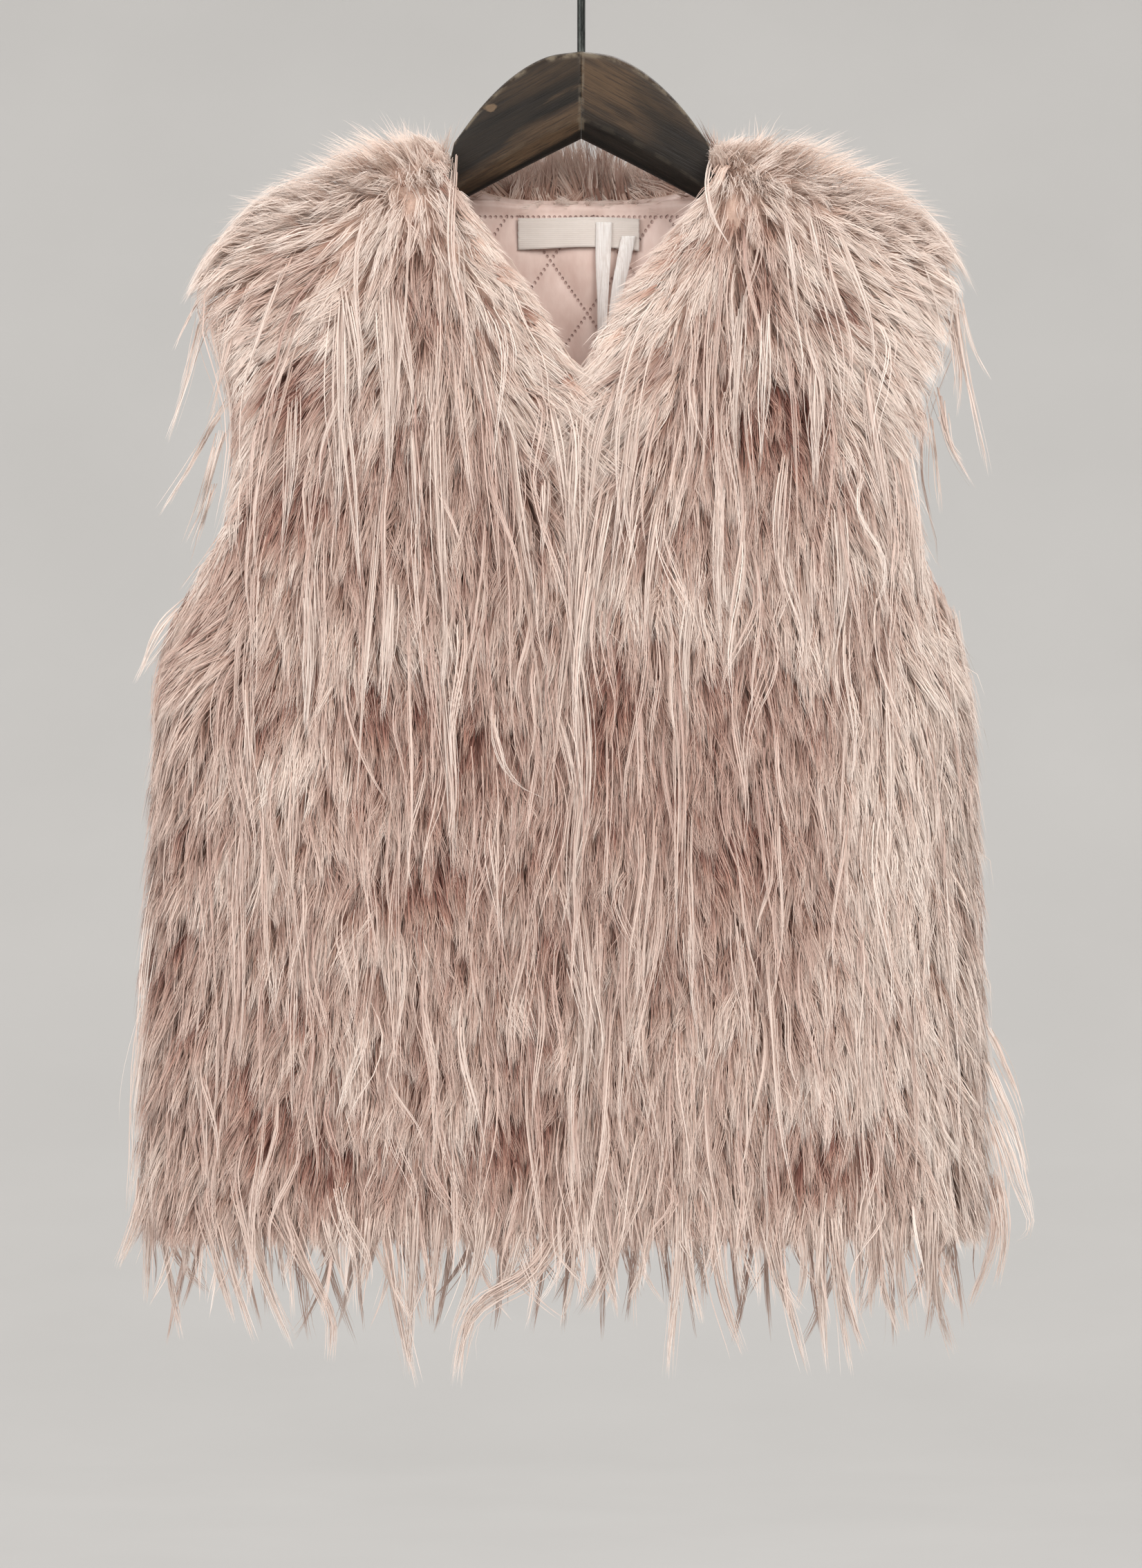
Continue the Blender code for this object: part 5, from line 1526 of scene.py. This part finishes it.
def paper_finish():
    """Pale paper, a little darker in the middle, where the lamps light it most."""
    paper = Finish("floor_paper", Roughness=0.95)
    grain = paper.noise(paper.place(), 3.0)
    x, y, _ = paper.split(paper.place())
    tone = paper.between(paper.math("SQRT", x * x + y * y), 1.5, 7.5, 0.70, 1.0)
    colour = paper.ramp(grain, (0.3, (0.60, 0.595, 0.585)), (0.7, (0.63, 0.625, 0.615)))
    paper.feed(paper.mix(1.0, colour, paper.combine(tone, tone, tone), "MULTIPLY"), "Base Color")
    return paper.made


def dress_panels(under, guard, foot, lining):
    """The three panels, each with its tufts, its scattered locks and the locks listed in its tables."""
    tables = {
        "front_left": [UPPER_RIGHT, SIDE_RIGHT, CENTRE],
        "front_right": [UPPER_LEFT, SIDE_LEFT],
        "back": [],
    }
    sheets = {}
    for number, panel in enumerate(PANELS):
        skin_piece = skin(panel, foot, lining)
        rng = np.random.default_rng(100 + number)
        fur = [strands(f"tufts_{panel}", [tufts(panel, rng)], under)]
        if panel != "back":
            fur.append(strands(f"fine_tufts_{panel}", [tufts(panel, rng, fine=True)], under))
        parts = [locks(panel, rng)]
        for table in tables[panel]:
            parts += placed_locks(table, rng)
        fur.append(strands(f"locks_{panel}", parts, guard))
        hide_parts(panel)
        for piece in [skin_piece] + fur:
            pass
        sheets[panel] = (skin_piece, fur)
    return sheets


def dress_edges(under, guard, sheets):
    """The locks and tufts at the hem, the armholes and the neckline. They share one row of random draws."""
    rng = np.random.default_rng(7)

    def add(name, parts, finish, node, panel):
        piece = strands(name, parts, finish)
        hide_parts(node)
        sheets[panel][1].append(piece)

    for panel, table in (("front_left", HEM_RIGHT), ("front_right", HEM_LEFT)):
        add(f"hem_{panel}", front_hem(panel, table, rng), guard, f"hem_fringe_{panel}", panel)
    add("hem_back", back_hem(rng), guard, "hem_fringe_back", "back")
    for side, hand, table in ((1, "left", OUTER_RIGHT), (-1, "right", OUTER_LEFT)):
        panel = f"front_{hand}"
        add(f"armhole_{hand}", armhole(side, panel, table, rng), guard, f"armhole_fringe_{hand}", panel)
        add(f"neck_{hand}", front_neck(side, panel, rng), under, f"neck_fringe_{hand}", panel)
    add("neck_back", [back_neck(rng)], under, "neck_fringe_back", "back")


def front_hem(panel, table, rng):
    """A front's hem: its main locks, short tufts between them, and thin long wisps."""
    count = 300
    parts = placed_locks(table, rng, sink=0.5, stand=0.001, pale=0.74, short=0.22, slim=True)
    across = rng.random(count)
    tone = 0.52 + 0.1 * rng.standard_normal(count)
    parts.append(hem_tufts(panel, across, rng.uniform(0.007, 0.012, count), tone, 12, rng))
    parts.append(hem_wisps(panel, 44, (0.014, 0.042), 0.60, 7, rng))
    return parts


def back_hem(rng):
    """The back's hem: short tufts and long wisps."""
    count = 500
    across, length = rng.uniform(-1, 1, count), rng.uniform(0.007, 0.014, count)
    return [
        hem_tufts("back", across, length, np.full(count, 0.3), 9, rng),
        hem_wisps("back", 54, (0.024, 0.052), 0.34, 16, rng),
    ]


def armhole(side, panel, table, rng):
    """The tufts of both panels round an armhole and down the side seam, and the locks that hang over it."""
    count = 130
    share = 0.64 + 0.36 * rng.random(count)
    length = rng.uniform(0.012, 0.021, count) * (1 + 0.2 * smooth_step(0.90, 1.0, share))
    parts = [edge_tufts(panel, share, np.full(count, 0.97), 0.15, length, 0.0022, 14, 0.80, rng)]
    count = 110
    share = 0.62 + 0.38 * rng.random(count)
    length = rng.uniform(0.014, 0.023, count)
    tone = 0.35 + 0.45 * smooth_step(0.82, 0.93, share)
    parts.append(edge_tufts("back", share, np.full(count, 0.97 * side), 0.15, length, 0.0022, 12, tone, rng))
    count = 90
    for name, at, tone in ((panel, 0.985, 0.55), ("back", 0.985 * side, 0.45)):
        share = rng.uniform(0.01, 0.62, count)
        length = np.minimum(rng.uniform(0.019, 0.027, count), share * 0.4 + 0.012)
        tone = rng.normal(tone, 0.10, count) + 0.10 * side
        parts.append(edge_tufts(name, share, np.full(count, at), 0.0, length, 0.0028, 14, tone, rng))
    return parts + placed_locks(table, rng, sink=0.5, stand=0.0, pale=0.80, short=0.5, slim=True)


def front_neck(side, panel, rng):
    """The tufts along one side of the V, those along the shoulder seam, and the fine hairs above them."""
    count = 120
    share = 0.775 + 0.22 * rng.random(count)
    length = rng.uniform(0.012, 0.021, count)
    parts = [edge_tufts(panel, share, np.full(count, 0.02), 0.25, length, 0.0020, 16, 0.80, rng)]
    return parts + [crest_tufts(side, 190, rng), flyaways(side, FLYAWAYS, rng)]


def back_neck(rng):
    """The tufts along the back of the neck. Most stand up, a few fall over to the front and some behind."""
    count = 520
    share, across = np.ones(count), rng.uniform(-0.38, 0.38, count)
    base, normal, pile = places_on("back", share, across)
    lift = pile * rng.uniform(0.1, 1.0, count)
    chance = rng.random(count)
    over, behind = chance < 0.10, chance > 0.78
    lift[behind] = 0.9 * pile[behind]
    way_x, way_y = rng.normal(-0.2, 0.8, count), rng.normal(0.15, 0.30, count)
    way = np.stack([way_x, way_y, np.ones(count)], axis=-1)
    way[over, 1:] = (-0.75, 0.15)
    way[behind, 1:] = (0.30, -1.0)
    root = base + normal * lift[:, None] - (0, 0, 0.003)
    length = rng.uniform(0.012, 0.020, count) + 0.013 * smooth_step(0.034, 0.0, np.abs(base[:, 0]))
    length[over] *= 0.55
    aside, along, gather = (np.full(count, value) for value in (0.0026, 0.0013, 0.4))
    tone = rng.normal(0.72, 0.12, count) + 0.18 * over
    return tuft_strands(root, normal, unit(way), length, 0 * pile, aside, along, gather, tone, 15, rng)


def hem_tufts(panel, across, length, pale, number, rng):
    """Short tufts that hang just past the hem, all through the thickness of the fur."""
    count = len(across)
    base, normal, pile = places_on(panel, np.full(count, 0.004), across)
    lift = pile * rng.uniform(0.15, 1.0, count)
    way = unit(DOWN + rng.normal(0, 0.12, (count, 3)))
    root = base + normal * lift[:, None] - way * 0.006
    spread, gather = np.full(count, 0.0026), np.full(count, 0.5)
    return tuft_strands(root, normal, way, length, 0 * pile, spread, spread, gather, pale, number, rng)


def hem_wisps(panel, count, reach, pale, number, rng):
    """Thin long wisps between the hem's main locks, at all depths of the fur."""
    start = -1 if PANELS[panel][1] else 0
    across = start + (1 - start) * (np.arange(count) + rng.random(count)) / count
    share = rng.uniform(0.0, 0.05, count)
    base, normal, pile = places_on(panel, share, across)
    root = base + normal * (pile * rng.uniform(0.3, 1.0, count))[:, None]
    length = base[:, 2] - HEM_HEIGHT + rng.uniform(*reach, count)
    lean_x, lean_y = rng.normal(0, 0.14, count), 0.10 * rng.standard_normal(count)
    lean = unit(DOWN + np.stack([lean_x, lean_y, 0 * pile], axis=-1))
    bend = np.stack([rng.normal(0, 0.009, count), 0 * pile, 0 * pile], axis=-1)
    t = np.linspace(0, 1, LOCK_RINGS)[None, :, None]
    spine = root[:, None] + lean[:, None] * length[:, None, None] * t + bend[:, None] * t**2
    aside = np.tile([[1.0, 0, 0]], (count, 1))
    spread = rng.uniform(0.002, 0.0042, count)
    made = bundle(spine, aside, number, spread, rng, stray=0.2, short=0.30, slim=True)
    tone = (pale + 0.10 * rng.standard_normal(count))[:, None] + rng.normal(0, 0.08, (count, number))
    return made + (tone.ravel(),)


def inside_neck(lining, satin, clear):
    """The lining, the label and the two tapes."""
    cloth_piece = quilted_lining(lining)
    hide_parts("lining_back")
    tag = label(satin)
    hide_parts("label")
    for letter, table, twist in (("a", TAPE_A, TAPE_TWISTS[0]), ("b", TAPE_B, TAPE_TWISTS[1])):
        piece = tape(f"tape_{letter}", table, twist, clear)
        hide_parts(f"hanging_tape_{letter}")


def camera_view():
    """The photograph's view: straight on, with a frame that is 0.612 m high at the hanger's plane."""
    data = bpy.data.cameras.new("camera")
    camera = bpy.data.objects.new("camera", data)
    bpy.context.scene.collection.objects.link(camera)
    camera.location = (FRAME_CENTRE[0], -CAMERA_DISTANCE, FRAME_CENTRE[1])
    camera.rotation_euler = (np.pi / 2, 0, 0)
    data.lens = 36 * CAMERA_DISTANCE / FRAME_HEIGHT
    data.clip_end = 100
    bpy.context.scene.camera = camera


def area_light(name, place, aim, size, power, colour):
    """A soft round lamp, turned to what it lights."""
    data = bpy.data.lights.new(name, "AREA")
    data.shape = "DISK"
    data.size = size
    data.energy = power
    data.color = colour
    light = bpy.data.objects.new(name, data)
    light.location = place
    light.rotation_euler = (Vector(aim) - Vector(place)).to_track_quat("-Z", "Y").to_euler()
    bpy.context.scene.collection.objects.link(light)


def studio(paper):
    """A pale floor that curves up into a round wall far behind every camera, and soft lights."""
    turn = np.linspace(0, 2 * np.pi, FLOOR_SIDES, endpoint=False)
    profile = np.array(FLOOR_PROFILE)
    x = profile[:, :1] * np.cos(turn)
    y = profile[:, :1] * np.sin(turn)
    z = profile[:, 1:] + 0 * turn
    points = np.concatenate([np.stack([x, y, z], axis=-1).reshape(-1, 3), [[0, 0, FLOOR_HEIGHT]]])
    number = np.arange(len(profile) * FLOOR_SIDES).reshape(-1, FLOOR_SIDES)
    after = np.roll(number, -1, axis=1)
    walls = np.stack([number[:-1], number[1:], after[1:], after[:-1]], axis=-1).reshape(-1, 4)
    middle = np.stack([number[0], after[0], np.full(FLOOR_SIDES, len(points) - 1)], axis=1)
    mesh = bpy.data.meshes.new("floor")
    mesh.from_pydata(points.tolist(), [], walls.tolist() + middle.tolist())
    mesh.shade_smooth()
    mesh.materials.append(paper)
    floor = bpy.data.objects.new("floor", mesh)
    bpy.context.scene.collection.objects.link(floor)
    world = bpy.data.worlds.new("studio")
    world.use_nodes = True
    background = world.node_tree.nodes["Background"]
    background.inputs[0].default_value = (1.0, 0.975, 0.95, 1)
    background.inputs[1].default_value = 1.0
    bpy.context.scene.world = world
    for light in LIGHTS:
        area_light(*light)
    bpy.context.scene.view_settings.view_transform = "Standard"


def main():
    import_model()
    camera_view()
    under = fur_finish("fur_under", UNDER_DARK, UNDER_PALE, 0.60)
    guard = fur_finish("fur_guard", GUARD_DARK, GUARD_PALE, 0.45)
    lining = lining_finish()
    wood, wire = wood_finish(), wire_finish()
    for side, hand in ((1, "left"), (-1, "right")):
        half = wood_half(side, wood)
        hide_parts(f"hanger_{hand}")
    hook_piece = hook(wire)
    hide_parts("hook_wire")
    sheets = dress_panels(under, guard, foot_finish(), lining)
    dress_edges(under, guard, sheets)
    inside_neck(lining, label_finish(), tape_finish())
    studio(paper_finish())


main()
